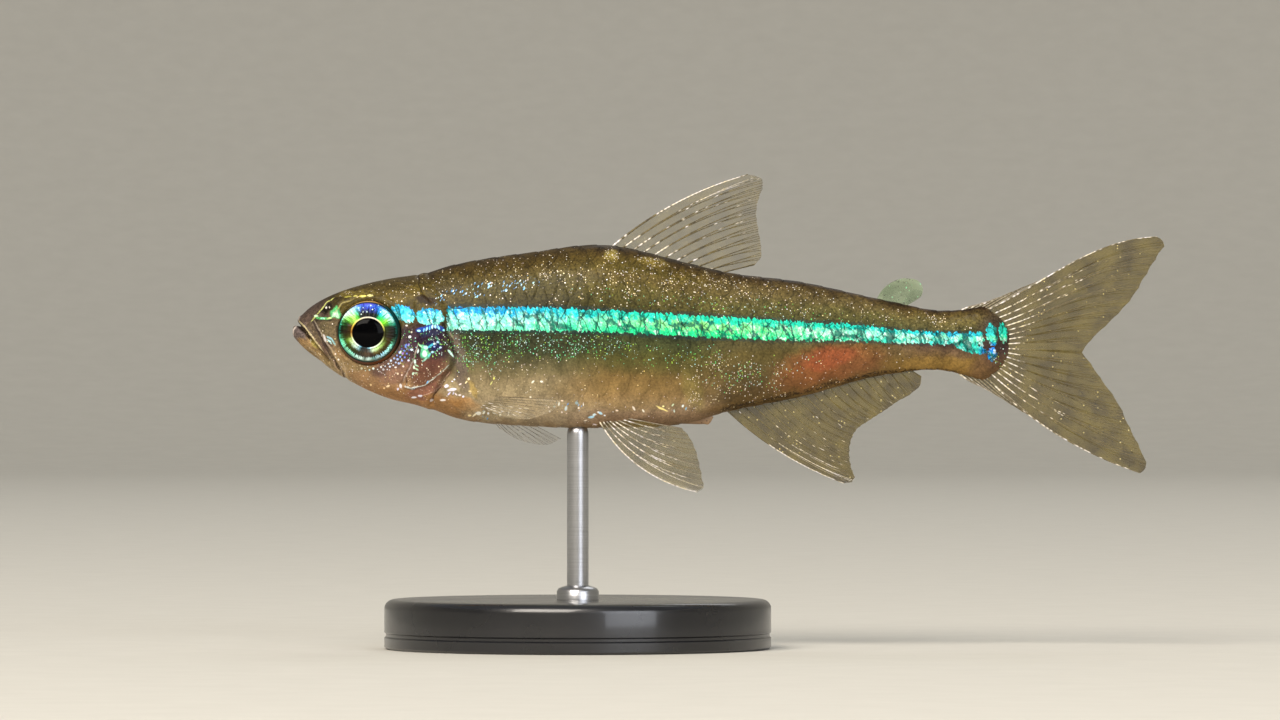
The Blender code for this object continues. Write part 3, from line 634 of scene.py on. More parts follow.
# Row of dark pigment where the anal fin grows out of the body
FIN_BASE = stroke(((13.9, -2.45), (15.2, -2.18), (16.4, -1.9), (17.4, -1.64), (18.3, -1.42), (19.2, -1.25),
    (20.4, -1.2), (21.4, -1.26)), .075, "#2a1e12", .85)
HEAD_PATCHES = (
    (.55, .48, .75, .55, 32, "#4e403a", .85), (.95, -.35, .9, .26, -62, "#5c4a44", .8),
    (.14, 0.0, .22, .22, 0, "#6c5f5c", .9), (.8, -1.0, .85, .34, -48, "#927a4e", .75),
    (1.22, .1, .3, .3, 0, "#6a6046", .8), (1.55, .05, .35, .55, 10, "#7c6a50", .7),
    (1.95, -1.35, 1.1, .46, -20, "#98835a", .75), (1.45, -.9, .45, .12, -58, "#a08c6c", .7),
    (2.6, -2.02, 1.9, .2, -20, "#b58a4c", .8), (3.2, -1.95, 1.35, .3, -10, "#b58455", .75),
    (2.7, -1.5, .9, .24, -10, "#a8825c", .75), (3.35, -1.15, .7, .42, 10, "#96705f", .8),
    (2.9, 1.52, 1.7, .3, 12, "#4c4020", .7), (3.6, 1.22, .6, .2, 8, "#78661f", .5),
    (2.1, 1.24, .6, .12, 4, "#76682e", .55), (4.36, -.45, .66, .8, 8, "#38222e", .95),
    (4.4, -1.28, .62, .42, 10, "#70483a", .85), (3.66, -.4, .32, .52, -15, "#463440", .8),
    (4.42, -.18, .42, .2, 5, "#2a1a2e", .85), (4.3, -1.85, .6, .2, 12, "#8a5a4c", .8),
    (4.28, 1.06, .28, .12, 0, "#2e2016", .85), (1.4, .92, .3, .14, 30, "#2c2418", .6),
    # On the next line, the near-black oval at along 1.12 is painted shade in the nostril pits
    (3.12, -1.02, .62, .18, 30, "#54403e", .65), (1.12, .78, .19, .12, 48, "#16120a", .95),
    (.68, -.36, .21, .08, -48, "#b4a45a", .85), (1.05, .38, .32, .06, -3, "#26221a", .8),
    (1.42, .62, .15, .14, -15, "#58cc78", .9), (1.41, .6, .09, .09, -15, "#d0fcd4", .85),
    (4.62, -.4, .24, .15, 10, "#101a50", .8), (4.32, -.62, .13, .2, 8, "#6cdca4", .9),
    (3.1, 1.16, .5, .22, 4, "#5a4c22", .6), (3.8, 1.28, .4, .24, 4, "#605228", .6),
    (4.45, .04, .36, .12, 4, "#24406a", .35), (.95, .05, .45, .32, -15, "#62563c", .55),
    (.95, -1.0, .5, .09, -46, "#b09670", .45), (1.75, -1.48, .55, .09, -34, "#b09874", .45),
)
# Lines drawn on the head: points, half width, colour, strength; the darkest are painted shade in grooves
HEAD_LINES_PAINTED = [part for line in (
    # Painted shade in the cleft of the mouth
    (((.12, .3), (.42, 0.0), (.66, -.3)), .04, "#140c08", .9),
    (((.2, .4), (.45, .16), (.7, -.2), (.98, -.56)), .028, "#d8c89a", .85),
    (((.18, .42), (.24, .62), (.45, .82)), .03, "#b8aaa0", .8),
    (((.02, -.08), (.03, .1), (.11, .2)), .035, "#d4c8be", .9),
    # Painted shade in the groove along the upper jaw bone
    (((.66, .42), (.99, -.25), (1.28, -.76), (1.5, -1.18)), .038, "#2c201c", .9),
    (((.73, .38), (1.06, -.22), (1.3, -.62)), .022, "#b4a694", .75),
    # Painted shade in the groove of the jaw fold
    (((1.13, -.45), (1.45, -1.0), (1.75, -1.55)), .026, "#4a3828", .85),
    (((1.22, -.45), (1.55, -1.02), (1.85, -1.55)), .026, "#c8aa7c", .7),
    (((.5, -.42), (.85, -.78), (1.25, -1.18), (1.62, -1.5)), .022, "#c4aa80", .55),
    (((.36, -.52), (.8, -.98), (1.4, -1.42), (2.1, -1.78)), .02, "#b89a6c", .45),
    (((1.32, -.85), (1.48, -1.3)), .02, "#c8a888", .55),
    (((1.5, -.98), (1.62, -1.42)), .018, "#c8ac90", .5),
    (((1.64, -.92), (1.7, -1.34)), .02, "#ccb090", .55),
    (((1.2, -.95), (1.3, -1.22)), .018, "#d0b890", .5),
    (((.64, .38), (.83, .6), (1.11, .99), (1.34, 1.13)), .022, "#c8cc74", .85),
    (((1.7, 1.14), (1.88, 1.17)), .024, "#b8b050", .8),
    (((1.97, 1.18), (2.07, 1.19)), .026, "#e0d870", .85),
    (((2.18, 1.18), (2.38, 1.19)), .03, "#f0e878", .9),
    (((2.44, 1.2), (2.58, 1.19)), .032, "#f8f0a0", .9),
    (((1.36, .64), (1.62, .94), (2.0, 1.1)), .02, "#a09258", .75),
    (((1.03, -.08), (1.1, -.25)), .04, "#e4dcd8", .85),
    (((1.15, -.12), (1.3, -.22)), .032, "#9ad8e8", .75),
    (((1.16, -.22), (1.26, -.33)), .03, "#c8f8f8", .9),
    (((1.28, -.21), (1.4, -.38)), .028, "#a0dce0", .75),
    (((.78, .5), (1.0, .46), (1.26, .46)), .038, "#48a85c", .85),
    (((.74, .54), (.83, .56)), .034, "#dcfcd0", .9),
    (((.93, .47), (1.05, .46)), .026, "#98f4c8", .9),
    (((1.14, .46), (1.28, .48)), .03, "#ccf098", .9),
    (((4.05, -.42), (3.93, -.85), (3.72, -1.25), (3.6, -1.55)), .026, "#d0bcae", .75),
    (((3.68, -1.44), (3.69, -1.68)), .03, "#34201c", .85),
    (((3.65, -1.72), (3.84, -1.78), (4.1, -1.72)), .026, "#f4f8f0", .95),
    (((4.1, -1.72), (4.27, -1.66), (4.49, -1.52), (4.65, -1.39)), .02, "#d8dcd0", .9),
    (((4.65, -1.39), (4.91, -1.2), (5.07, -1.03)), .017, "#a8b0a0", .85),
    (((4.35, -1.58), (4.75, -1.33), (4.97, -1.12)), .014, "#56665a", .6),
    (((4.25, -2.02), (4.65, -1.87), (4.85, -1.65), (4.97, -1.42), (5.07, -1.26)), .018, "#caa890", .8),
    # Painted shade along the gill cover's edge, in the gill slit
    (((4.85, .34), (4.92, .08), (5.04, -.18), (5.15, -.42), (5.22, -.66)), .05, "#120908", .95),
    (((4.98, .22), (5.24, -.18), (5.4, -.6)), .03, "#b8a890", .6),
    (((5.3, -.7), (5.36, -1.15), (5.3, -1.55)), .022, "#b8a8a0", .55),
    (((5.46, -.4), (5.58, -1.0), (5.7, -1.55)), .024, "#c4b4aa", .6),
    (((5.68, -1.46), (5.98, -1.98)), .026, "#f4e2a8", .8),
    (((4.06, .08), (4.3, .14), (4.5, .21), (4.68, .22), (4.86, .1)), .07, "#1c50b8", .85),
    (((4.1, -.37), (4.22, -.48)), .028, "#b0f8c0", .9),
    (((4.4, -.46), (4.58, -.34)), .034, "#50c8e8", .85),
    (((4.36, -.8), (4.24, -.94)), .026, "#a0e8d0", .8),
    (((4.4, -.76), (4.48, -.66)), .028, "#70d8e0", .8),
    (((4.65, -.12), (4.8, -.36)), .026, "#3a8a70", .8),
    (((3.97, -1.02), (4.08, -1.09)), .022, "#b8e8c0", .85),
    (((3.95, -1.12), (4.08, -1.2)), .022, "#c8f0c8", .85),
    (((3.92, -1.26), (4.04, -1.28)), .022, "#d8f0d0", .8),
    (((5.05, -.56), (5.19, -.74)), .034, "#d8fff6", .95),
    # Painted shade in the notch of the nape
    (((4.05, 1.92), (4.1, 1.5), (4.22, 1.26)), .024, "#1c140c", .8),
) for part in stroke(*line)]
# Bright crystals large enough to be placed one by one, painted pale and bright as their glints:
# along, up, half length, half height, tilt, colour
HEAD_CRYSTAL_GLINTS = (
    (4.3, -.67, .07, .1, 0, "#dcfff0"), (4.33, -.47, .07, .06, 0, "#b8ffe4"),
    (4.1, .07, .06, .026, 0, "#b8fff0"), (4.28, .09, .024, .06, -10, "#7cc8ff"),
    (4.37, .12, .026, .07, -10, "#a8e8ff"), (4.46, .15, .026, .07, -10, "#6cc0ff"),
    (4.55, .19, .03, .07, -10, "#c8fcff"), (4.64, .2, .032, .06, 0, "#b0f0ff"),
    (4.73, .17, .03, .07, 10, "#90dcff"), (4.88, .08, .035, .03, 0, "#8af0e8"),
    (3.71, .22, .035, .03, 0, "#e0d8d0"), (3.84, .02, .03, .03, 0, "#c8c8b0"),
    (3.79, -.13, .04, .04, 0, "#f0fcff"), (3.68, -.42, .028, .07, -25, "#6a90e8"),
    (3.78, -.38, .028, .05, -35, "#9a90d8"), (3.88, -.55, .042, .04, 0, "#d8ecff"),
    (3.49, -.62, .03, .06, -30, "#e0ecff"), (3.58, -.66, .028, .04, 0, "#b080d0"),
    (4.07, -.6, .03, .07, -8, "#d0e4e4"),
    (3.97, -.93, .04, .06, 0, "#d0f0e0"), (3.94, -1.1, .035, .05, 0, "#e0f0d8"),
    (3.91, -1.29, .035, .05, 0, "#c8e8d0"), (4.71, -.28, .04, .03, -30, "#b0d0ff"),
    (4.79, -.45, .04, .03, 0, "#c0dcff"), (4.54, -.61, .04, .03, 20, "#a8e4ff"),
    (4.6, -.34, .032, .03, 0, "#e8f8ff"), (4.6, -.43, .026, .025, 0, "#a0c0ff"),
    (3.59, -1.07, .03, .03, 0, "#ffe8e0"), (3.75, -.87, .03, .03, 0, "#e8e0ff"),
    (3.33, -1.1, .03, .03, 0, "#fff0e4"), (3.39, -1.32, .025, .04, 0, "#ffe4c4"),
    (3.52, -1.36, .025, .03, 0, "#ffe4d4"), (3.5, -1.71, .045, .08, 10, "#fff6f2"),
    (3.4, -1.82, .04, .04, 0, "#f4ecff"), (3.07, -1.71, .055, .04, 20, "#ffe6bc"),
    (2.96, -1.78, .03, .03, 0, "#f8d8a0"), (2.52, -1.65, .035, .03, 0, "#f4d49c"),
    (3.91, -2.07, .075, .034, 8, "#fbf8ff"), (4.12, -2.02, .08, .026, 0, "#f6f2ff"),
    (4.49, -2.17, .06, .04, 35, "#fff2ea"), (4.68, -2.1, .035, .03, 0, "#ffeee0"),
    # The dot below and the first one on the next line sit in the nostrils: painted highlights
    (1.09, .81, .025, .03, 0, "#e8e0d0"),
    (1.2, .82, .02, .03, 30, "#fff4e0"), (1.4, -.68, .025, .025, 0, "#ffe8d8"),
    (1.51, -.86, .03, .025, 0, "#fff0e0"), (1.32, .28, .022, .022, 0, "#fff4e0"),
)
# The same painted glints of crystal on the shoulder and along the belly, where scales lie over the skin
BODY_CRYSTAL_GLINTS = (
    (4.85, -2.16, .09, .04, 0, "#fff6f0"), (4.99, -1.71, .06, .05, 20, "#f2ecff"),
    (5.16, -1.83, .14, .045, 8, "#fbf6ff"), (5.06, -1.95, .06, .025, 50, "#e8e0ff"),
    (5.2, -1.93, .05, .02, 60, "#e0d8f0"), (5.3, -1.96, .06, .022, -35, "#fff0f0"),
    (5.43, -1.99, .045, .028, -10, "#fff4f0"), (5.54, -2.05, .04, .035, 60, "#f6f0ff"),
    (5.17, -1.55, .034, .028, 0, "#f4ecff"), (5.25, -1.48, .03, .026, 0, "#ffffff"),
    (5.43, -1.64, .04, .026, 20, "#ffe8e0"), (5.7, -1.47, .03, .045, 0, "#fff4c8"),
    (5.62, -1.59, .06, .02, 45, "#f4e2b0"), (5.74, -1.86, .05, .022, 0, "#f0d8a0"),
    (5.72, -2.65, .05, .03, 0, "#ffe8b0"), (5.88, -2.65, .09, .028, 35, "#fff2d0"),
    (6.01, -2.6, .075, .065, 0, "#fffaea"), (6.17, -2.58, .025, .06, -35, "#f8f4e0"),
    (6.3, -2.58, .03, .035, 0, "#ffffff"), (6.5, -2.58, .06, .022, -30, "#f4f0dc"),
    (6.69, -2.66, .035, .035, 0, "#fffbe0"), (6.98, -2.58, .022, .05, 0, "#e8e0c8"),
    (7.53, -2.42, .08, .018, -6, "#ecdcb8"), (7.7, -2.07, .03, .028, 0, "#fff4d8"),
    (7.76, -1.6, .05, .028, 40, "#fff8e0"), (8.03, -1.58, .035, .03, 0, "#fffbe8"),
    (6.53, -1.45, .025, .045, -30, "#e8e87a"), (6.43, -1.6, .07, .02, 55, "#e0dc88"),
    (8.28, -2.4, .028, .04, 0, "#ffe8d0"), (8.3, -2.53, .028, .026, 0, "#fff4e4"),
    (8.6, -2.3, .028, .06, -10, "#e8e8d8"), (8.82, -2.42, .038, .07, 0, "#ccd8d8"),
    (8.7, -2.19, .042, .024, 0, "#ffe4cc"), (8.7, -2.55, .03, .024, 0, "#f8ece0"),
    (9.17, -2.26, .05, .05, 0, "#a4b8b8"), (9.22, -2.42, .03, .03, 0, "#fff0dc"),
    (9.38, -2.29, .022, .05, 0, "#f0e8d8"), (9.62, -2.7, .1, .042, 10, "#bce4f4"),
    (9.72, -2.62, .05, .04, 20, "#e8fcff"), (9.92, -2.58, .07, .04, -30, "#c8ecfa"),
    (9.85, -2.54, .03, .028, 0, "#ffffff"), (10.05, -2.65, .035, .024, 0, "#f4f8f8"),
    (9.45, -2.82, .06, .022, 20, "#fff0d8"), (9.76, -2.95, .07, .022, -15, "#fff0f0"),
    (10.07, -2.93, .045, .02, -40, "#f0d8d0"), (10.46, -2.47, .045, .028, 0, "#ffe8cc"),
    (11.0, -2.42, .08, .024, -55, "#f0e4d0"), (11.32, -2.49, .06, .026, -50, "#fff6e0"),
    (11.92, -2.44, .19, .03, -27, "#f0dc90"), (11.95, -2.36, .028, .028, 0, "#fff4b0"),
    (12.27, -2.33, .028, .055, -40, "#e0f0c8"), (12.3, -2.52, .026, .05, 0, "#dce8d8"),
    (12.59, -2.36, .034, .05, -30, "#f4fbf4"), (12.69, -2.45, .028, .05, -20, "#94b8c8"),
)


def ground_colour(tree, wobbled):
    """Ground colour of the fish from the ramps, at a place in millimetres."""
    along = add(tree, "SeparateXYZ", {0: wobbled})
    up = along.node.outputs[2]
    belly = painted_line(tree, along, body_outline(BELLY))
    back = painted_line(tree, along, body_outline(BACK))
    height = add(tree, "MapRange", {0: up, 1: belly, 2: back})
    colour = None
    for stops, start, end in GROUNDS:
        shade = add(tree, "ValToRGB", {0: height}, stops=stops)
        if colour is None:
            colour = shade
            continue
        share = add(tree, "MapRange", {0: along, 1: start, 2: end}, interpolation_type="SMOOTHSTEP")
        colour = add(tree, "Mix:RGBA", {0: share, 6: colour, 7: shade})
    return colour


# %% [markdown]
# Fish glitter because crystals in the skin reflect light. That glint is painted here: each speck is one
# cell of a Voronoi pattern, 0.05 mm across like the real ones, painted bright by chance where a list of
# ovals says that the fish glitters, and the shader makes it smoother and a little metallic. Warm specks
# are white, gold and pink, cool ones green and blue, and streaks are specks drawn out along the muscle.
# The neon stripe is the same idea with leaning cells packed edge to edge: a cell belongs to the stripe
# when its own centre lies inside, which gives the ragged edge that whole cells make.
# %% Glitter and neon
SPECK = 0.05            # size of a crystal speck, in millimetres
NEON_CELL = 0.084       # size of a neon cell
NEON_PLATE = 0.58       # distance between the dark cracks in the neon
NEON_LEAN = (1.35, 0.35, 1.0)      # how the cells are narrowed, leant over and drawn out upwards
WARM_STOPS = ((0.0, "#fffaee"), (0.35, "#ffe9ac"), (0.6, "#f6e0dc"), (0.8, "#ffffff"), (1.0, "#ffdc80"))
COOL_STOPS = ((0.0, "#88f0c4"), (0.3, "#5cd068"), (0.55, "#c4e850"), (0.75, "#a0d8d8"), (1.0, "#ecfff4"))
STREAK_STOPS = ((0.0, "#4aa4f4"), (0.3, "#8cd0ff"), (0.6, "#eef8ff"), (0.85, "#ffffff"), (1.0, "#b8f4e0"))
# Where the painted glint specks are, and how many: along, up, half length, half height, tilt, share of the cells
WARM_SPECKS = (
    (9.5, 1.45, 6.0, .95, -3, .12), (11.5, 1.66, 4.2, .32, -4, .2), (16.5, 1.0, 4.6, .36, -10, .18),
    (9.0, -1.9, 4.5, 1.0, 0, .06), (10.3, 2.48, .22, .2, 0, .7), (11.6, 2.28, .45, .14, -8, .6),
    (12.86, -1.75, .26, .7, 20, .55), (14.3, -1.5, 1.4, .7, 0, .24), (20.8, .42, .6, .18, -10, .3),
    (17.5, -1.0, 2.0, .6, 8, .08), (7.2, -1.18, 1.0, .14, 12, .3),
)
COOL_SPECKS = (
    (5.6, -.3, .75, .34, -20, .6), (7.6, -.38, 3.0, .42, 0, .55), (6.0, -.85, .8, .38, 0, .4),
    (10.5, -.62, 2.6, .32, -5, .24), (13.6, -.9, 1.6, .4, -20, .16), (15.0, -1.3, 1.6, .35, 15, .16),
    (14.5, .75, 4.4, .3, -6, .16), (14.4, -1.36, .55, .14, 0, .45), (22.95, -.85, .22, .32, 0, .5),
)
STREAKS = (
    (4.95, 1.22, .45, .15, 27, .95), (6.0, 1.42, .5, .17, 12, .85), (7.15, 1.55, .65, .2, 6, .95),
    (9.03, -2.36, .42, .14, 0, .25), (6.35, -2.6, .6, .1, 0, .3),
)
HEAD_WARM_SPECKS = (
    (2.6, -1.35, 1.3, .5, -8, .08), (1.2, -.6, .8, .6, -40, .07), (1.1, .1, .55, .4, 0, .08),
    (3.6, -1.2, .8, .42, 0, .14), (4.4, -1.4, .5, .3, 20, .16), (4.95, -1.75, .36, .16, -5, .4),
    (3.6, 1.26, .6, .22, 8, .3), (1.9, -.9, .8, .5, 0, .04), (2.1, 1.24, .5, .1, 6, .3),
)
HEAD_COOL_SPECKS = ((3.62, -.5, .3, .5, -10, .45), (4.5, -.02, .42, .12, 0, .3),
    (4.56, -.45, .28, .3, 0, .4), (4.0, -.95, .16, .4, -8, .3))
HEAD_STREAKS = ((4.3, -1.6, 0.7, 0.08, 24, 0.3),)
# Neon beside the stripe: along, up, half length, half height, tilt
NEON_PATCHES = ((21.9, -.5, .52, .14, -12), (22.57, -.06, .18, .34, 8), (22.93, 0.0, .13, .31, 8),
    (22.56, -.66, .15, .22, 0))
HEAD_NEON = ((3.6, 0.63, 0.42, 0.25, -27), (4.46, 0.52, 0.45, 0.28, -5))
BLUE_PATCHES = ((3.72, 0.88, 0.35, 0.06, -25), (4.5, 0.79, 0.4, 0.05, -6), (22.6, -0.62, 0.4, 0.3, 0))
# Colours of the stripe along the fish: at its upper edge, in the middle and at its lower edge
NEON_TOP = ((.05, "#70e8a8"), (.13, "#3cc4f0"), (.2, "#0c86d4"), (.28, "#1298d8"), (.36, "#22c8d8"),
    (.46, "#26d8b8"), (.62, "#24d4a8"), (.74, "#22d0b8"), (.82, "#24ccc8"), (.9, "#26b0dc"),
    (.96, "#2cd0b0"))
NEON_MIDDLE = ((.05, "#b8f8b0"), (.13, "#70ecf4"), (.185, "#62e4ec"), (.21, "#98faf6"), (.28, "#98fcf0"),
    (.36, "#8afcd8"), (.44, "#80fab0"), (.54, "#96f890"), (.64, "#84f6a0"), (.74, "#98ffd4"),
    (.84, "#b4ffe4"), (.92, "#70f8c8"), (.96, "#50f0a8"))
NEON_LOW = ((.05, "#90f0a8"), (.13, "#70f0f0"), (.2, "#90f8e0"), (.28, "#80f4c8"), (.36, "#50eeb0"),
    (.46, "#2ce494"), (.6, "#28e288"), (.7, "#38e89c"), (.8, "#48e4c4"), (.88, "#40d8cc"),
    (.96, "#30d8b8"))


def speck_share(tree, where, patches, soft=0.5):
    """Share of the cells that glitter at each place, from a list of ovals."""
    part = (patches, soft)
    if part not in patch_groups:
        group, (place, _), result = new_group("speck_share", (("Place", "NodeSocketVector"),),
            ("Share", "NodeSocketFloat"))
        total = 0.0
        for patch in patches:
            total = add(group, "Math:ADD", {0: total, 1: oval(group, place, patch, soft, patch[5])})
        group.links.new(total, result)
        patch_groups[part] = group
    return add(tree, "Group", {0: where}, node_tree=patch_groups[part])


def lay_glint_specks(tree, place, where, colour, patches, stops, turn):
    """Scatter specks of painted glint over a colour, and give the new colour and the specks' mask."""
    moved = add(tree, "VectorMath:ADD", {0: place, 1: (turn, 2 * turn, 3 * turn)})
    distance = add(tree, "TexVoronoi", {"Vector": moved, "Scale": 1 / SPECK})
    chance = add(tree, "SeparateColor", {0: distance.node.outputs["Color"]})
    share = speck_share(tree, where, patches)
    clump = add(tree, "TexNoise", {"Vector": where, "Scale": 2.0, "Detail": 3.0})
    clump = add(tree, "MapRange", {0: clump, 1: 0.38, 2: 0.62, 3: 0.35, 4: 2.1})
    share = add(tree, "Math:MULTIPLY", {0: share, 1: clump})
    lit = add(tree, "Math:GREATER_THAN", {0: share, 1: chance})
    size = add(tree, "MapRange", {0: chance.node.outputs[2], 3: 0.16, 4: 0.46})
    near = add(tree, "Math:SUBTRACT", {0: size, 1: distance})
    spot = add(tree, "MapRange", {0: near, 1: 0.0, 2: 0.1})
    glow = add(tree, "MapRange", {0: chance.node.outputs[2], 1: 0.1, 3: 0.35, 4: 1.0})
    spot = add(tree, "Math:MULTIPLY", {0: spot, 1: glow})
    mask = add(tree, "Math:MULTIPLY", {0: lit, 1: spot})
    tint = add(tree, "ValToRGB", {0: chance.node.outputs[1]}, stops=stops)
    colour = add(tree, "Mix:RGBA", {0: mask, 6: colour, 7: tint})
    return colour, mask


def drawn_out(tree, place, stretch, tilt):
    """Place with the pattern on it drawn out by `stretch` along a tilted direction."""
    cos, sin = math.cos(math.radians(tilt)), math.sin(math.radians(tilt))
    long_way = add(tree, "VectorMath:DOT_PRODUCT", {0: place, 1: (cos / stretch, 0.0, sin / stretch)}, out="Value")
    short_way = add(tree, "VectorMath:DOT_PRODUCT", {0: place, 1: (-sin, 0.0, cos)}, out="Value")
    return add(tree, "CombineXYZ", {0: long_way, 2: short_way})


def lay_neon(tree, place, colour, patches):
    """Paint the neon stripe and its outliers, and give the new colour, their mask and their relief."""
    narrow, lean, tall = NEON_LEAN
    leant = add(tree, "VectorMath:DOT_PRODUCT", {0: place, 1: (narrow, 0.0, lean)}, out="Value")
    side = add(tree, "SeparateXYZ", {0: place}, out=1)
    up = add(tree, "Math:MULTIPLY", {0: side.node.outputs[2], 1: tall})
    leant = add(tree, "CombineXYZ", {0: leant, 1: side, 2: up})
    cell = add(tree, "TexVoronoi", {"Vector": leant, "Scale": 1 / NEON_CELL}, out="Position")
    gap = add(tree, "TexVoronoi", {"Vector": leant, "Scale": 1 / NEON_CELL}, feature="DISTANCE_TO_EDGE")
    along = add(tree, "VectorMath:DOT_PRODUCT", {0: cell, 1: (1 / narrow, 0.0, -lean / narrow / tall)}, out="Value")
    height = add(tree, "VectorMath:DOT_PRODUCT", {0: cell, 1: (0.0, 0.0, 1 / tall)}, out="Value")
    centre = add(tree, "CombineXYZ", {0: along, 1: 1.0, 2: height})
    middle = painted_line(tree, along, STRIPE_CENTRE)
    half = painted_line(tree, along, STRIPE_HALF)
    rise = add(tree, "Math:SUBTRACT", {0: height, 1: middle})
    level = add(tree, "Math:DIVIDE", {0: rise, 1: half})
    off = add(tree, "Math:ABSOLUTE", {0: level})
    inside = add(tree, "Math:LESS_THAN", {0: off, 1: 1.0})
    start = add(tree, "Math:GREATER_THAN", {0: along, 1: STRIPE_START})
    stop = add(tree, "Math:LESS_THAN", {0: along, 1: STRIPE_STOP})
    mask = add(tree, "Math:MULTIPLY", {0: inside, 1: start})
    mask = add(tree, "Math:MULTIPLY", {0: mask, 1: stop})
    for patch in patches:
        mask = add(tree, "Math:MAXIMUM", {0: mask, 1: oval(tree, centre, patch, 0.02)})
    # Dark skin shows round the crystals
    fringe = add(tree, "MapRange", {0: off, 1: 1.36, 2: 1.16, 4: 0.5})
    fringe = add(tree, "Math:MULTIPLY", {0: fringe, 1: start})
    fringe = add(tree, "Math:MULTIPLY", {0: fringe, 1: stop})
    colour = add(tree, "Mix:RGBA", {0: fringe, 6: colour, 7: linear("#14343a")})
    # Soft clouds shift the hues up and down, whiten some places, partly the stripe's own pale flakes and partly
    # painted highlight, and deepen others
    clouds = add(tree, "TexNoise", {"Vector": leant, "Scale": 5.5, "Detail": 3.0, "Roughness": 0.6}, out="Color")
    cloud = add(tree, "SeparateColor", {0: clouds})
    drift = add(tree, "MapRange", {0: cloud, 1: 0.3, 2: 0.7, 3: -0.55, 4: 0.55})
    drift = add(tree, "Math:ADD", {0: level, 1: drift})
    hue_place = add(tree, "Math:DIVIDE", {0: along, 1: LINE_LENGTH})
    neon = add(tree, "ValToRGB", {0: hue_place}, stops=NEON_MIDDLE)
    for stops, begin, full in ((NEON_TOP, 0.15, 0.6), (NEON_LOW, -0.15, -0.55)):
        share = add(tree, "MapRange", {0: drift, 1: begin, 2: full})
        hue = add(tree, "ValToRGB", {0: hue_place}, stops=stops)
        neon = add(tree, "Mix:RGBA", {0: share, 6: neon, 7: hue})
    for patch in BLUE_PATCHES:
        neon = add(tree, "Mix:RGBA", {0: oval(tree, centre, patch), 6: neon, 7: linear("#1a7fe0")})
    # The painted highlight on the stripe spreads further towards its ends
    ends = add(tree, "Math:SUBTRACT", {0: along, 1: 12.0})
    ends = add(tree, "Math:ABSOLUTE", {0: ends})
    front = add(tree, "MapRange", {0: ends, 1: 0.0, 2: 5.5, 3: 0.58, 4: 0.5})
    pale = add(tree, "MapRange", {0: cloud.node.outputs[1], 1: front, 2: 0.68, 4: 0.85})
    low = add(tree, "MapRange", {0: drift, 1: 0.7, 2: 0.2})
    pale = add(tree, "Math:MULTIPLY", {0: pale, 1: low})
    neon = add(tree, "Mix:RGBA", {0: pale, 6: neon, 7: linear("#ecfff8")})
    deep = add(tree, "MapRange", {0: cloud.node.outputs[2], 1: 0.46, 2: 0.36, 4: 0.55})
    neon = add(tree, "Mix:RGBA", {0: deep, 6: neon, 7: linear("#10bc8c")})
    # Single cells are brighter or darker than the rest, and fine folds break them up
    chance = add(tree, "SeparateColor", {0: cell.node.outputs["Color"]})
    single = add(tree, "MapRange", {0: chance, 3: 0.8, 4: 1.14})
    fold = add(tree, "TexNoise", {"Vector": leant, "Scale": 14.0, "Detail": 2.0, "Roughness": 0.6})
    crease = add(tree, "MapRange", {0: fold, 1: 0.4, 2: 0.6, 3: 0.66, 4: 1.16})
    crease = add(tree, "Math:MULTIPLY", {0: crease, 1: single})
    neon = add(tree, "VectorMath:SCALE", {0: neon, "Scale": crease})
    # Dark cracks part it where the edges of the scales lie
    bent = add(tree, "VectorMath:MULTIPLY_ADD", {0: clouds, 1: (0.45, 0.0, 0.45), 2: leant})
    bent = add(tree, "VectorMath:MULTIPLY", {0: bent, 1: (1.0, 0.3, 0.45)})
    crack = add(tree, "TexVoronoi", {"Vector": bent, "Scale": 1 / NEON_PLATE}, feature="DISTANCE_TO_EDGE")
    crack = add(tree, "MapRange", {0: crack, 1: 0.075, 2: 0.03, 4: 0.85})
    neon = add(tree, "Mix:RGBA", {0: crack, 6: neon, 7: linear("#06504a")})
    colour = add(tree, "Mix:RGBA", {0: mask, 6: colour, 7: neon})
    relief = add(tree, "MapRange", {0: gap, 2: 0.12, 4: 0.6})
    return colour, mask, relief


# Rows of beads: distance from the eye's centre, degrees from one bead to the next, and the angles
# between which the row appears and fades
BEAD_ROWS = ((1.185, 6.3, -122, -96, -30, -12), (1.3, 5.2, -76, -60, -24, -8), (1.42, 5.6, -52, -44, -26, -12))
BEAD_HUES = ((0.0, "#c8a868"), (.12, "#f0d8a0"), (.26, "#d8f8f0"), (.45, "#ffffff"), (.66, "#d4e6ff"),
    (.82, "#7a94f4"), (1.0, "#5a58d0"))


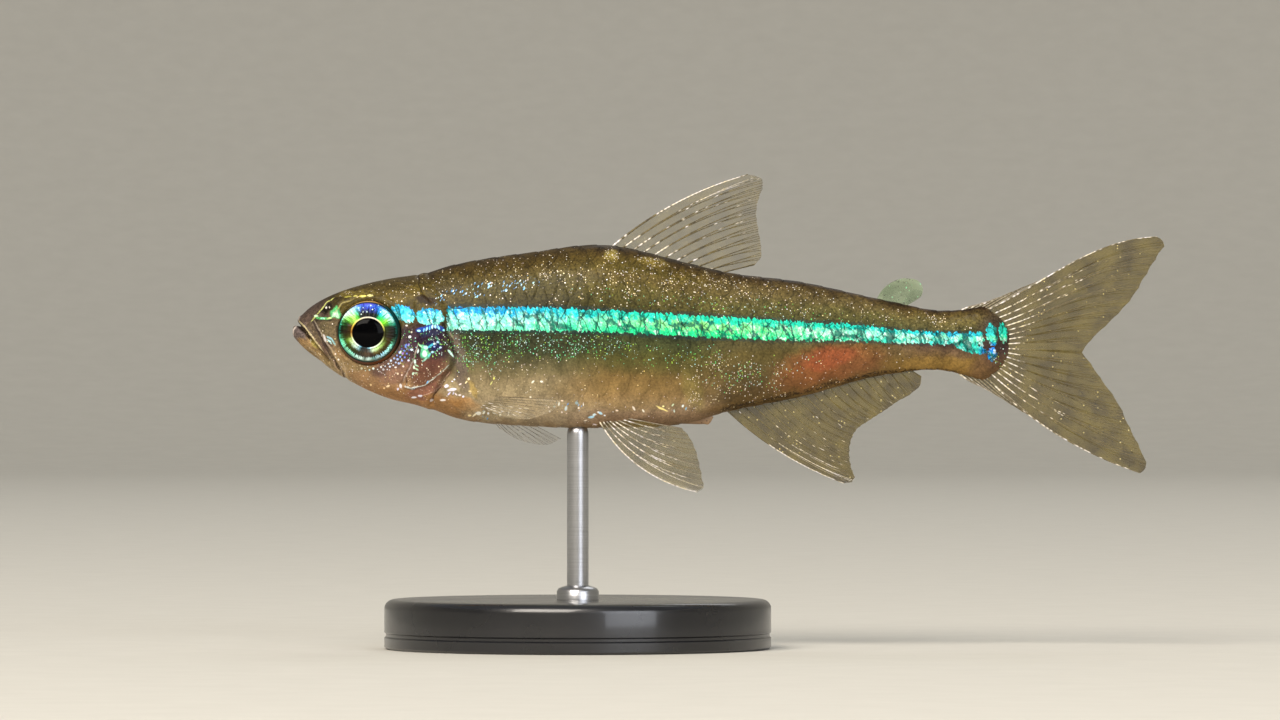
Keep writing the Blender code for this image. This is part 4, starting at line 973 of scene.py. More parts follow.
def lay_beads(tree, flat, colour):
    """Rows of crystal beads under and behind the eye, and their mask."""
    place = add(tree, "VectorMath:ADD", {0: flat, 1: (-EYE_ALONG, -1.0, 0.0)})
    x = add(tree, "SeparateXYZ", {0: place})
    reach = add(tree, "VectorMath:LENGTH", {0: place}, out="Value")
    angle = add(tree, "Math:ARCTAN2", {0: x.node.outputs[2], 1: x})
    total = None
    for radius, step, first, full, last, gone in BEAD_ROWS:
        count = add(tree, "Math:DIVIDE", {0: angle, 1: math.radians(step)})
        whole = add(tree, "Math:ROUND", {0: count})
        chance = add(tree, "TexWhiteNoise", {"W": whole}, noise_dimensions="1D")
        aside = add(tree, "Math:SUBTRACT", {0: count, 1: whole})
        aside = add(tree, "Math:MULTIPLY", {0: aside, 1: math.radians(step) * radius})
        shift = add(tree, "MapRange", {0: chance, 3: -radius - 0.035, 4: -radius + 0.035})
        off = add(tree, "Math:ADD", {0: reach, 1: shift})
        off = add(tree, "CombineXYZ", {0: aside, 1: off})
        off = add(tree, "VectorMath:LENGTH", {0: off}, out="Value")
        size = add(tree, "MapRange", {0: chance, 3: 0.024, 4: 0.048})
        near = add(tree, "Math:SUBTRACT", {0: size, 1: off})
        spot = add(tree, "MapRange", {0: near, 1: 0.0, 2: 0.016})
        begin = add(tree, "MapRange", {0: angle, 1: math.radians(first), 2: math.radians(full)})
        end = add(tree, "MapRange", {0: angle, 1: math.radians(gone), 2: math.radians(last)})
        mask = add(tree, "Math:MULTIPLY", {0: spot, 1: begin})
        mask = add(tree, "Math:MULTIPLY", {0: mask, 1: end})
        total = mask if total is None else add(tree, "Math:MAXIMUM", {0: total, 1: mask})
    round_share = add(tree, "MapRange", {0: angle, 1: math.radians(-120), 2: math.radians(-15)})
    tint = add(tree, "ValToRGB", {0: round_share}, stops=BEAD_HUES)
    colour = add(tree, "Mix:RGBA", {0: total, 6: colour, 7: tint})
    return colour, total


def paint_fish(tree, with_head):
    """All markings of the fish: colour with painted glints and, on the head, painted shade in grooves, glitter, a
    fine relief, and where the neon is.
    """
    place = add(tree, "TexCoord", out="Object")
    place = add(tree, "VectorMath:MULTIPLY_ADD", {0: place, 1: (1 / MM,) * 3, 2: (-NOSE_X, 0.0, -EYE_Z)})
    flat = add(tree, "VectorMath:MULTIPLY_ADD", {0: place, 1: (1.0, 0.0, 1.0), 2: (0.0, 1.0, 0.0)})
    noise = add(tree, "TexNoise", {"Vector": place, "Scale": 2.2, "Detail": 4.0}, out="Color")
    shift = add(tree, "VectorMath:SUBTRACT", {0: noise, 1: (0.5, 0.5, 0.5)})
    shift = add(tree, "VectorMath:MULTIPLY", {0: shift, 1: (0.5, 0.0, 0.5)})
    wobbled = add(tree, "VectorMath:ADD", {0: flat, 1: shift})
    colour = ground_colour(tree, wobbled)
    colour = lay_patches(tree, wobbled, colour, BODY_PATCHES, 0.5)
    warm, cool, neon, streaks = WARM_SPECKS, COOL_SPECKS, NEON_PATCHES, STREAKS
    if with_head:
        colour = lay_patches(tree, wobbled, colour, HEAD_PATCHES)
        warm, cool, neon = warm + HEAD_WARM_SPECKS, cool + HEAD_COOL_SPECKS, neon + HEAD_NEON
        streaks = streaks + HEAD_STREAKS
    # Pigment cells darken the back in fine dots; head and belly are smoother, with soft clouds
    dots = add(tree, "TexNoise", {"Vector": place, "Scale": 14.0, "Detail": 3.0, "Roughness": 0.7})
    spread = add(tree, "Math:SUBTRACT", {0: dots, 1: 0.5})
    along = add(tree, "SeparateXYZ", {0: wobbled})
    coarse = add(tree, "MapRange", {0: along.node.outputs[2], 1: -1.0, 2: 0.1, 3: 1.35, 4: 2.9})
    shade = add(tree, "Math:MULTIPLY_ADD", {0: spread, 1: coarse, 2: GROUND_LIGHT})
    cloud = add(tree, "SeparateColor", {0: noise}, out=1)
    cloud = add(tree, "MapRange", {0: cloud, 1: 0.35, 2: 0.65, 3: 0.84, 4: 1.16})
    shade = add(tree, "Math:MULTIPLY", {0: shade, 1: cloud})
    colour = add(tree, "VectorMath:SCALE", {0: colour, "Scale": shade})
    slight = add(tree, "VectorMath:MULTIPLY_ADD", {0: shift, 1: (0.28, 0.0, 0.28), 2: flat})
    based = lay_patches(tree, slight, colour, FIN_BASE)
    dotted = add(tree, "MapRange", {0: dots, 1: 0.52, 2: 0.46, 3: 0.25})
    colour = add(tree, "Mix:RGBA", {0: dotted, 6: colour, 7: based})
    if with_head:
        lined = lay_patches(tree, slight, colour, HEAD_LINES_PAINTED)
        broken = add(tree, "MapRange", {0: dots, 1: 0.42, 2: 0.52, 3: 0.45})
        colour = add(tree, "Mix:RGBA", {0: broken, 6: colour, 7: lined})
    # Specks of crystal painted bright as glints: warm, cool and drawn out
    colour, warm_mask = lay_glint_specks(tree, place, wobbled, colour, warm, WARM_STOPS, 0.31)
    colour, cool_mask = lay_glint_specks(tree, place, wobbled, colour, cool, COOL_STOPS, 0.57)
    streaky = drawn_out(tree, place, 3.0, 58)
    colour, streak_mask = lay_glint_specks(tree, streaky, wobbled, colour, streaks, STREAK_STOPS, 0.83)
    colour, neon_mask, relief = lay_neon(tree, place, colour, neon)
    glitter = add(tree, "Math:MAXIMUM", {0: warm_mask, 1: cool_mask})
    glitter = add(tree, "Math:MAXIMUM", {0: glitter, 1: streak_mask})
    crystals = BODY_CRYSTAL_GLINTS
    if with_head:
        colour, bead_mask = lay_beads(tree, flat, colour)
        glitter = add(tree, "Math:MAXIMUM", {0: glitter, 1: bead_mask})
        crystals = HEAD_CRYSTAL_GLINTS + crystals
    # Crystals placed one by one, painted bright as glints
    colour = lay_patches(tree, slight, colour, [(*crystal, 1.0) for crystal in crystals], 0.25)
    shine = add(tree, "Math:MAXIMUM", {0: glitter, 1: neon_mask})
    relief = add(tree, "Math:MULTIPLY", {0: relief, 1: neon_mask})
    relief = add(tree, "Math:MULTIPLY_ADD", {0: dots, 1: 0.6, 2: relief})
    return colour, shine, relief, neon_mask


# %% [markdown]
# Living fish skin is wet: pigment and crystals under a thin clear film of slime. A Principled shader
# with a coat gives both, the rough colour below and the sharp gloss above. Skin IOR is close to that
# of water with protein, 1.4. The scales take the same markings, darkened along their free edge where
# pigment gathers.
# %% Skin and scale materials
def new_material(name):
    """Material with one Principled shader: its tree and the shader."""
    material = bpy.data.materials.new(name)
    material.use_nodes = True
    return material, material.node_tree, material.node_tree.nodes["Principled BSDF"]


def finish_wet_skin(tree, shader, colour, shine, relief):
    """Link the markings to the shader of wet skin."""
    rough = add(tree, "MapRange", {0: shine, 3: 0.58, 4: 0.3})
    metal = add(tree, "Math:MULTIPLY", {0: shine, 1: 0.25})
    bump = add(tree, "Bump", {"Height": relief, "Strength": 0.5, "Distance": 0.01 * MM})
    feed(tree, shader, {"Base Color": colour, "Roughness": rough, "Metallic": metal, "Normal": bump,
        "IOR": 1.4, "Specular IOR Level": 0.12, "Coat Weight": 0.15, "Coat Roughness": 0.12, "Coat IOR": 1.33})


def make_skin_material():
    """Wet skin with all markings."""
    material, tree, shader = new_material("wet_skin")
    colour, shine, relief, _ = paint_fish(tree, with_head=True)
    finish_wet_skin(tree, shader, colour, shine, relief)
    return material


def make_scale_material():
    """Clear scale over the same markings, darker along its free edge."""
    material, tree, shader = new_material("scale_plate")
    colour, shine, relief, neon = paint_fish(tree, with_head=False)
    rim = add(tree, "Attribute", out="Fac", attribute_name="rim")
    tone = add(tree, "Attribute", out="Fac", attribute_name="tone")
    up = add(tree, "SeparateXYZ", {0: add(tree, "TexCoord", out="Object")}, out=2)
    pale = add(tree, "MapRange", {0: up, 1: (EYE_Z - 0.4) * MM, 2: (EYE_Z - 1.1) * MM, 3: 0.7, 4: 0.88})
    pale = add(tree, "Mix", {0: neon, 2: pale, 3: 0.18})
    thin = add(tree, "MapRange", {0: rim, 1: 0.02, 2: 0.15, 3: pale, 4: 1.0})
    # Pigment gathers in a broad soft band behind the edge, on the back most
    dusk = add(tree, "MapRange", {0: up, 1: (EYE_Z + 1.0) * MM, 2: (EYE_Z + 0.5) * MM, 3: 0.84, 4: 1.02})
    broad = add(tree, "MapRange", {0: rim, 1: 0.0, 2: 0.55, 3: dusk, 4: 1.05}, interpolation_type="SMOOTHSTEP")
    tone = add(tree, "MapRange", {0: tone, 3: 0.88, 4: 1.1})
    shade = add(tree, "Math:MULTIPLY", {0: thin, 1: tone})
    shade = add(tree, "Math:MULTIPLY", {0: shade, 1: broad})
    colour = add(tree, "VectorMath:SCALE", {0: colour, "Scale": shade})
    finish_wet_skin(tree, shader, colour, shine, relief)
    return material


skin = build_skin(make_skin_material())
scales = build_scales(make_scale_material())
for piece in [skin] + scales:
    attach(piece, "root")
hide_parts("head", "lower_jaw", "gill_cover_left", "gill_cover_right", "trunk", "tail")
print("skin:", len(skin.data.polygons), "faces")

# %% [markdown]
# The eye is a flattened ball with three layers of form: the rim, the iris, sunk a little and ribbed
# like a fan, and the pupil, which a fish's round lens pushes out into a dome. It is turned on a
# lathe, because every part of it is a ring. The glass-clear cornea is a coat of gloss, so the
# colours below it stay crisp.
# %% Eye form
EYE_RADIUS = 1.035
EYE_SHIFT = 0.035       # the eye sits this much further back than its socket's solid
EYE_BULGE = 0.48
EYE_SQUARENESS = 2.7    # how flat the front is
EYE_STEPS = 144
IRIS = (-0.04, 0.03)    # centre of the iris along and up, a little in front of the ball's own
PUPIL = (-0.036, 0.005, 0.507, 0.473)       # centre along and up, half width and half height
EYE_BACK = ((0.995, -0.08), (0.95, -0.26), (0.75, -0.42), (0.4, -0.48), (0.0, -0.49))


def turned(profile, steps):
    """Rings of points (x, y, height), one for each (radius, height) of a profile."""
    angle = np.arange(steps) * 2 * math.pi / steps
    return [np.stack([r * np.cos(angle), r * np.sin(angle), np.full(steps, h)], -1) for r, h in profile]


def lathe(profile, steps):
    """Points and faces of a closed solid turned from a profile that begins and ends on its axis."""
    rings = turned(profile[1:-1], steps)
    points = np.concatenate(rings + [[(0, 0, profile[0][1]), (0, 0, profile[-1][1])]])
    index, after, faces = ring_faces(len(rings), steps)
    faces = faces[:, [0, 3, 2, 1]].tolist()
    top, bottom = len(points) - 2, len(points) - 1
    faces += [(top, int(a), int(b)) for a, b in zip(index[0], after[0])]
    faces += [(bottom, int(b), int(a)) for a, b in zip(index[-1], after[-1])]
    return points, faces


def eye_relief(x, y):
    """Fine form on the front of the eye."""
    reach = np.hypot(x - IRIS[0], y - IRIS[1])
    angle = np.arctan2(y - IRIS[1], x - IRIS[0])
    lens = np.hypot((x - PUPIL[0]) / PUPIL[2], (y - PUPIL[1]) / PUPIL[3])
    rise = 0.06 * np.sqrt(np.clip(1 - (lens / 0.97) ** 2, 0, 1)) + 0.016 * hill(lens - 1.06, 0.035)
    iris = ease(lens, 1.08, 1.18) * ease(reach, 0.95, 0.9)
    rise += iris * (0.006 * np.cos(34 * angle + 5 * np.sin(3 * angle)) - 0.02)
    return rise - 0.02 * hill(reach - 0.945, 0.014) + 0.012 * hill(reach - 0.975, 0.012)


def build_eye(name, sign, material):
    """One eye, its front towards -Y for sign -1."""
    radii = np.concatenate([np.linspace(0, 0.44, 12), np.linspace(0.455, 0.58, 12), np.linspace(0.6, 0.9, 14),
        np.linspace(0.91, 0.998, 12)])
    front = [(r * EYE_RADIUS, EYE_BULGE * (1 - r**EYE_SQUARENESS) ** (1 / EYE_SQUARENESS)) for r in radii]
    points, faces = lathe(front + list(EYE_BACK), EYE_STEPS)
    x, y, out = points.T
    out = out + np.where(out > 0, eye_relief(x, y), 0.0)
    centre = np.array((EYE_ALONG + EYE_SHIFT, sign * EYE_SIDE, 0.0))
    points = centre + np.stack([x, sign * out, y], axis=-1)
    if sign > 0:
        faces = [face[::-1] for face in faces]
    return new_piece(name, points, faces, material, centre=centre)


# %% [markdown]
# The iris glows in rings, each changing hue round the clock: bright beside the pupil, dull in the
# middle, beads of light near the edge, and a dark wet rim. One colour ramp per ring runs round the
# eye, and the distance from the centre blends them. The fibres are noise sampled on a circle, so
# they point at the pupil, and they push the rings in and out, which makes the spiky edges. Ramps
# begin in front of the pupil and pass below, behind and above it.
# %% Eye material
# Each ring: where it begins and where it is full, and its colours round the clock
IRIS_RINGS = (
    (0.0, .01, ((0.0, "#32240f"), (.04, "#4a4a18"), (.06, "#b8d870"), (.13, "#d8f8e0"), (.17, "#88b8c0"),
        (.19, "#2e3a3a"), (.24, "#4a4038"), (.27, "#6a7a78"), (.29, "#e0ffd0"), (.33, "#d0f8a0"),
        (.38, "#a0c868"), (.42, "#5a6a28"), (.46, "#2c2814"), (.545, "#2a3a14"), (.58, "#78d828"),
        (.61, "#60f040"), (.64, "#20d070"), (.67, "#083020"), (.7, "#040c08"), (.8, "#040c08"),
        (.825, "#0a2a14"), (.845, "#58c840"), (.88, "#a8ec60"), (.91, "#88b848"), (.94, "#4a3818"),
        (1.0, "#32240f"))),
    (.62, .69, ((0.0, "#261a10"), (.04, "#3a3a14"), (.06, "#648a30"), (.09, "#465418"), (.15, "#34381a"),
        (.2, "#383226"), (.24, "#584838"), (.28, "#46362c"), (.31, "#726838"), (.36, "#443c18"),
        (.43, "#443618"), (.47, "#241e12"), (.54, "#1c220c"), (.565, "#3a9a28"), (.59, "#a0ff60"),
        (.61, "#50f0a0"), (.64, "#30d8c0"), (.66, "#18a8e0"), (.685, "#082c78"), (.72, "#0c1e64"),
        (.78, "#0c1c5c"), (.81, "#081644"), (.83, "#40c8a8"), (.86, "#a8ff80"), (.89, "#a8f060"),
        (.915, "#58b030"), (.935, "#163214"), (1.0, "#261a10"))),
    (.72, .77, ((0.0, "#221a10"), (.06, "#40602c"), (.09, "#3c4c1c"), (.15, "#2e341c"), (.2, "#34302a"),
        (.24, "#50463a"), (.28, "#40342a"), (.36, "#3c3818"), (.43, "#3a3018"), (.47, "#1c180e"),
        (.535, "#16180c"), (.56, "#40b080"), (.58, "#b8ffd8"), (.63, "#a8fff0"), (.66, "#40a8f0"),
        (.69, "#1c48b8"), (.74, "#3048c8"), (.79, "#1c38a0"), (.82, "#3080c0"), (.84, "#a0ffe0"),
        (.88, "#c0ffb0"), (.91, "#88d860"), (.935, "#1c4018"), (1.0, "#221a10"))),
    (.81, .84, ((0.0, "#1c2014"), (.035, "#3a7a4c"), (.06, "#78e8b0"), (.1, "#7ac8a0"), (.15, "#90e8d0"),
        (.21, "#e0fff8"), (.23, "#688070"), (.25, "#e0fff8"), (.28, "#64988c"), (.31, "#98c0c8"),
        (.345, "#a8e4fc"), (.39, "#b0fff0"), (.42, "#80e8c8"), (.44, "#3a6a4a"), (.47, "#101c12"),
        (.53, "#121c14"), (.55, "#30a080"), (.57, "#c0fff4"), (.64, "#c0fffc"), (.67, "#58b0f0"),
        (.7, "#2a58d0"), (.74, "#6a88f4"), (.78, "#3c50c8"), (.81, "#58a8e8"), (.84, "#c0fff4"),
        (.88, "#d8fff4"), (.91, "#a0f890"), (.94, "#387a40"), (.965, "#141c12"), (1.0, "#1c2014"))),
    (.89, .92, ((0.0, "#164034"), (.03, "#50c8a0"), (.07, "#78f0cc"), (.1, "#60a888"), (.15, "#58806a"),
        (.22, "#70806c"), (.3, "#6a6a58"), (.36, "#50685c"), (.44, "#2c5044"), (.5, "#164038"),
        (.56, "#087068"), (.62, "#2aa0b8"), (.66, "#3450a0"), (.7, "#3c38a8"), (.75, "#4a3cb0"),
        (.8, "#4858d0"), (.83, "#90a8f0"), (.86, "#e0f8ff"), (.9, "#f4fffc"), (.93, "#78f4d8"),
        (.96, "#28987c"), (1.0, "#164034"))),
)
EYE_RIM = ((0.0, "#4a4238"), (.1, "#6a4a2e"), (.2, "#5a3018"), (.35, "#6a4024"), (.48, "#3a3228"),
    (.55, "#0c3a38"), (.65, "#1a4a4c"), (.69, "#8a6034"), (.73, "#e0b06c"), (.82, "#e8bc78"),
    (.88, "#8a6a3c"), (.92, "#2c2a20"), (1.0, "#4a4238"))
PUPIL_RING = ((0.0, "#8a5a22"), (.04, "#c8b060"), (.07, "#e8ffd0"), (.15, "#e8fff4"), (.175, "#6ab0d0"),
    (.195, "#263030"), (.24, "#34444a"), (.265, "#90d4ec"), (.29, "#f0fff0"), (.36, "#e8fcd0"),
    (.42, "#b0c078"), (.46, "#4a4a28"), (.5, "#3a3a1e"), (.53, "#a8a850"), (.57, "#dcdc68"),
    (.62, "#f4f4b0"), (.66, "#f4ecd8"), (.8, "#f4ecd0"), (.86, "#f8f4a0"), (.92, "#f0d458"),
    (.96, "#b88a34"), (1.0, "#8a5a22"))


def make_eye_material():
    """Iris, pupil and rim under a clear wet cornea."""
    material, tree, shader = new_material("fish_eye")
    place = add(tree, "TexCoord", out="Object")
    place = add(tree, "VectorMath:MULTIPLY", {0: place, 1: (1 / MM, 0.0, 1 / MM)})
    disc = add(tree, "VectorMath:ADD", {0: place, 1: (-IRIS[0], 0.0, -IRIS[1])})
    x = add(tree, "SeparateXYZ", {0: disc})
    reach = add(tree, "VectorMath:LENGTH", {0: disc}, out="Value")
    angle = add(tree, "Math:ARCTAN2", {0: x.node.outputs[2], 1: x})
    clock = add(tree, "Math:MULTIPLY_ADD", {0: angle, 1: 0.5 / math.pi, 2: 0.5})
    circle = add(tree, "VectorMath:NORMALIZE", {0: disc})
    spoke = add(tree, "VectorMath:MULTIPLY", {0: circle, 1: (12.0, 0.0, 12.0)})
    spoke = add(tree, "VectorMath:MULTIPLY_ADD", {0: disc, 1: (2.2, 0.0, 2.2), 2: spoke})
    fibre = add(tree, "TexNoise", {"Vector": spoke, "Scale": 1.6, "Detail": 4.0, "Roughness": 0.6})
    push = add(tree, "MapRange", {0: fibre, 1: 0.3, 2: 0.7, 3: -0.06, 4: 0.06})
    spiky = add(tree, "Math:ADD", {0: reach, 1: push})
    colour = None
    for start, end, stops in IRIS_RINGS:
        shade = add(tree, "ValToRGB", {0: clock}, stops=stops)
        share = add(tree, "MapRange", {0: spiky, 1: start, 2: end})
        colour = shade if colour is None else add(tree, "Mix:RGBA", {0: share, 6: colour, 7: shade})
    bright = add(tree, "MapRange", {0: fibre, 1: 0.38, 2: 0.6, 3: 0.45, 4: 1.25})
    colour = add(tree, "VectorMath:SCALE", {0: colour, "Scale": bright})
    # Crystals in the dark blue top of the iris
    cell = add(tree, "TexVoronoi", {"Vector": place, "Scale": 16.0})
    chance = add(tree, "SeparateColor", {0: cell.node.outputs["Color"]})
    lit = add(tree, "Math:GREATER_THAN", {0: chance, 1: 0.72})
    spot = add(tree, "MapRange", {0: cell, 1: 0.45, 2: 0.25})
    lit = add(tree, "Math:MULTIPLY", {0: lit, 1: spot})
    high = add(tree, "MapRange", {0: x.node.outputs[2], 1: 0.45, 2: 0.62})
    lit = add(tree, "Math:MULTIPLY", {0: lit, 1: high})
    colour = add(tree, "Mix:RGBA", {0: lit, 6: colour, 7: linear("#e0fff4")})
    edge = add(tree, "MapRange", {0: reach, 1: 0.925, 2: 0.945})
    colour = add(tree, "Mix:RGBA", {0: edge, 6: colour, 7: linear("#04241f")})
    rim = add(tree, "MapRange", {0: reach, 1: 0.965, 2: 0.985})
    rim_colour = add(tree, "ValToRGB", {0: clock}, stops=EYE_RIM)
    colour = add(tree, "Mix:RGBA", {0: rim, 6: colour, 7: rim_colour})
    lens = add(tree, "VectorMath:MULTIPLY_ADD", {0: place, 1: (1 / PUPIL[2], 0.0, 1 / PUPIL[3]),
        2: (-PUPIL[0] / PUPIL[2], 0.0, -PUPIL[1] / PUPIL[3])})
    lens = add(tree, "VectorMath:LENGTH", {0: lens}, out="Value")
    ring = add(tree, "MapRange", {0: lens, 1: 1.115, 2: 1.075})
    ring_colour = add(tree, "ValToRGB", {0: clock}, stops=PUPIL_RING)
    colour = add(tree, "Mix:RGBA", {0: ring, 6: colour, 7: ring_colour})
    dark = add(tree, "MapRange", {0: lens, 1: 1.03, 2: 0.99})
    colour = add(tree, "Mix:RGBA", {0: dark, 6: colour, 7: linear("#030304")})
    rough = add(tree, "MapRange", {0: dark, 3: 0.4, 4: 0.07})
    wet = add(tree, "MapRange", {0: dark, 3: 0.5, 4: 0.0})
    feed(tree, shader, {"Base Color": colour, "Roughness": rough, "IOR": 1.34, "Specular IOR Level": 0.1,
        "Coat Weight": wet, "Coat Roughness": 0.02, "Coat IOR": 1.2})
    return material


eye_material = make_eye_material()
eyes = [build_eye("fish_eye_left", -1, eye_material), build_eye("fish_eye_right", 1, eye_material)]
for piece, node in zip(eyes, ("eye_left", "eye_right")):
    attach(piece, "root")
    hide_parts(node)
    print(piece.name, len(piece.data.polygons), "faces")

# %% [markdown]
# A fin is a clear web spread between bony rays. Every point of it is found by its share of the way
# from the leading ray to the last one and its reach from root to margin, so the rays, the web and
# the solids of the frame all agree. The web is a slab a few hundredths of a millimetre thick; the
# solids had to be far thicker.
# %% Fin surface
ROOT_DEPTH = 0.22       # how far the roots reach into the body
PELVIC_SIDE = 0.47


def flank_side(along, up):
    """Half width of the lower body at a height."""
    middle = body_line(along, MIDDLE)
    share = (middle - up) / (middle - body_line(along, BELLY))
    return body_line(along, HALF_WIDTH) * np.sqrt(np.clip(1 - share**2, 0, 1))


def back_root(along):
    return along, 0 * along, body_line(along, BACK) - ROOT_DEPTH


def belly_root(along):
    return along, 0 * along, body_line(along, BELLY) + ROOT_DEPTH


def tail_root(up):
    return smooth_through(TAIL_END, up) - ROOT_DEPTH, 0 * up, up


def pelvic_root(along):
    middle = body_line(along, MIDDLE)
    drop = (middle - body_line(along, BELLY)) * np.sqrt(1 - (PELVIC_SIDE / body_line(along, HALF_WIDTH)) ** 2)
    return along, 0 * along - PELVIC_SIDE, middle - drop + ROOT_DEPTH


def pectoral_root(up):
    along = 5.78 - 0.7 * (up + 2.05)
    return along, 0.1 - flank_side(along, up), up


# `bow` is the arch of the leading ray and `late` how far out it arches; `tone` is how pale the rays
# are; `pale` lists where white crystal lies, painted bright as its glint: share, reach, half sizes, chance.
# The braces are the short unsplit rays above and below the tail's root
FINS = {
    "dorsal_fin": dict(
        root=back_root, span=(10.14, 13.53), bow=.3, late=1, web="clear", rays=11, split=(.22, .66),
        thick=.034, tone=0.0, pale=((.03, .72, .07, .28, 1.0), (.5, .1, .6, .1, .6),
        (.3, .6, .4, .3, .04)), margin=((0.0, 14.72, 5.13), (.05, 15.02, 5.1), (.12, 15.22, 4.92),
        (.2, 15.2, 4.66), (.3, 15.08, 4.35), (.42, 15.0, 3.94), (.6, 15.05, 3.4), (.8, 15.14, 2.8),
        (.92, 15.12, 2.42), (1.0, 14.92, 2.2))),
    "adipose_fin": dict(
        root=back_root, span=(18.8, 19.62), bow=.2, late=1, web="fleshy", rays=0, split=(1, 1), thick=.1,
        tone=0.0, pale=(), margin=((0.0, 19.75, 1.78), (.25, 20.15, 1.72), (.5, 20.34, 1.5),
        (.75, 20.3, 1.2), (1.0, 20.06, 1.02))),
    "anal_fin": dict(
        root=belly_root, span=(13.9, 19.74), bow=-.25, late=1, web="olive", rays=22, split=(.35, .7),
        thick=.024, tone=.05, pale=((.03, .7, .07, .3, 1.0), (.5, .45, .5, .5, .05)),
        margin=((0.0, 17.82, -4.86), (.04, 18.05, -4.84), (.08, 18.17, -4.72), (.16, 18.07, -4.38),
        (.25, 18.0, -3.97), (.34, 18.03, -3.54), (.44, 18.21, -3.14), (.56, 18.64, -2.82),
        (.7, 19.15, -2.49), (.82, 19.56, -2.2), (.92, 20.0, -1.94), (.97, 20.28, -1.66),
        (1.0, 20.3, -1.4))),
    "caudal_fin_upper": dict(
        root=tail_root, span=(.72, -.49), bow=.36, late=2, web="olive", rays=10, split=(.16, .42),
        thick=.029, tone=.06, pale=((0.0, .6, .03, .6, .4), (.55, .12, .6, .11, .7),
        (.2, .35, .15, .2, .2)), margin=((0.0, 27.94, 3.11), (.04, 28.14, 3.03), (.1, 28.19, 2.84),
        (.2, 27.95, 2.45), (.35, 27.58, 1.85), (.52, 27.15, 1.15), (.72, 26.5, .44),
        (.9, 25.77, -.26), (1.0, 25.5, -.63))),
    "caudal_fin_lower": dict(
        root=tail_root, span=(-1.38, -.49), bow=-.37, late=1, web="olive", rays=9, split=(.16, .42),
        thick=.029, tone=.06, pale=((0.0, .6, .03, .6, .4), (.55, .12, .6, .11, .7),
        (.25, .32, .15, .2, .25)), margin=((0.0, 27.4, -4.53), (.05, 27.58, -4.45),
        (.12, 27.6, -4.2), (.25, 27.33, -3.58), (.38, 27.06, -3.05), (.55, 26.7, -2.29),
        (.75, 26.1, -1.44), (.92, 25.68, -.84), (1.0, 25.5, -.63))),
    "pelvic_fin_left": dict(
        root=pelvic_root, span=(9.82, 10.46), bow=-.46, late=1, splay=(-.75, -.55), web="clear", rays=8,
        split=(.34, 1), thick=.025, tone=.22, pale=((.04, .6, .12, .6, .95),
        (.45, .35, .5, .4, .55)), margin=((0.0, 13.08, -5.13), (.08, 13.28, -5.04),
        (.2, 13.25, -4.7), (.4, 13.16, -4.26), (.62, 13.02, -3.75), (.82, 12.8, -3.32),
        (1.0, 12.58, -3.08))),
    "pectoral_fin_left": dict(
        root=pectoral_root, span=(-2.05, -2.33), bow=.03, late=1, splay=(-.45, -.4), web="milky", rays=9,
        split=(.7, 1), thick=.012, tone=0.0, pale=((.8, .5, .3, .5, .35),),
        margin=((0.0, 8.69, -2.16), (.4, 8.42, -2.5), (.75, 7.6, -2.78), (1.0, 6.85, -2.72))),
    "vent_flap": dict(
        root=belly_root, span=(12.2, 13.4), bow=-.04, late=1, web="belly", rays=0, split=(1, 1),
        thick=.12, tone=0.0, pale=(), margin=((0.0, 12.6, -2.93), (.5, 13.24, -2.94), (.85, 13.48, -2.9),
        (1.0, 13.58, -2.72))),
    "tail_brace_upper": dict(
        root=back_root, span=(21.3, 22.25), bow=.1, late=1, web="olive", rays=6, split=(1, 1), thick=.036,
        tone=.2, pale=((.1, .5, .3, .6, .4),), margin=((0.0, 22.3, .92), (.3, 22.8, 1.13),
        (.7, 23.4, 1.41), (1.0, 24.05, 1.68))),
    "tail_brace_lower": dict(
        root=belly_root, span=(21.3, 22.25), bow=-.1, late=1, web="olive", rays=6, split=(1, 1),
        thick=.036, tone=.2, pale=((.1, .5, .3, .6, .4),), margin=((0.0, 22.35, -1.76),
        (.3, 22.8, -2.04), (.7, 23.4, -2.44), (1.0, 24.0, -2.8))),
}
FINS["pelvic_fin_right"] = dict(FINS["pelvic_fin_left"], mirror=-1)
FINS["pectoral_fin_right"] = dict(
    FINS["pectoral_fin_left"], mirror=-1,
    margin=((0.0, 8.66, -3.44), (0.4, 8.14, -3.64), (0.75, 7.25, -3.46), (1.0, 6.69, -3.12)))


def fin_points(fin, share, reach):
    """Points of a fin's middle surface."""
    share, reach = np.broadcast_arrays(np.asarray(share, float), np.asarray(reach, float))
    inside = np.clip(share, 0.0, 1.0)
    first, last = fin["span"]
    root = np.stack(fin["root"](first + (last - first) * inside), axis=-1)
    margin_along = smooth_through([(s, a) for s, a, u in fin["margin"]], inside)
    margin_up = smooth_through([(s, u) for s, a, u in fin["margin"]], inside)
    splay = fin.get("splay", (0.0, 0.0))
    side = root[..., 1] + splay[0] + (splay[1] - splay[0]) * inside
    run = np.stack([margin_along, side, margin_up], axis=-1) - root
    across = np.stack([-run[..., 2], 0 * side, run[..., 0]], axis=-1)
    across /= np.linalg.norm(across, axis=-1, keepdims=True)
    late = fin["late"]
    arch = reach**late * (1 - reach) * (late + 1) ** (late + 1) / late**late
    bow = arch * fin["bow"] * (1 - inside)
    points = root + run * reach[..., None] + across * bow[..., None]
    return points * (1, fin.get("mirror", 1), 1)


# %% [markdown]
# A ray is a chain of short bones, which is why it bends and why it looks beaded under a lens. It
# splits once or twice on its way out. Each ray is a tube with a waist at every joint, and each tube
# point knows how pale it is: white crystal sits on some bones only, painted bright as its glint.
# %% Rays and webs
RAY_SIDES = 6
SEGMENT = 0.14          # length of one bone of a ray
WEB_ROWS = 28
WEB_ROOT = 0.036        # thickness of a web at its root and at its margin
WEB_TIP = 0.014


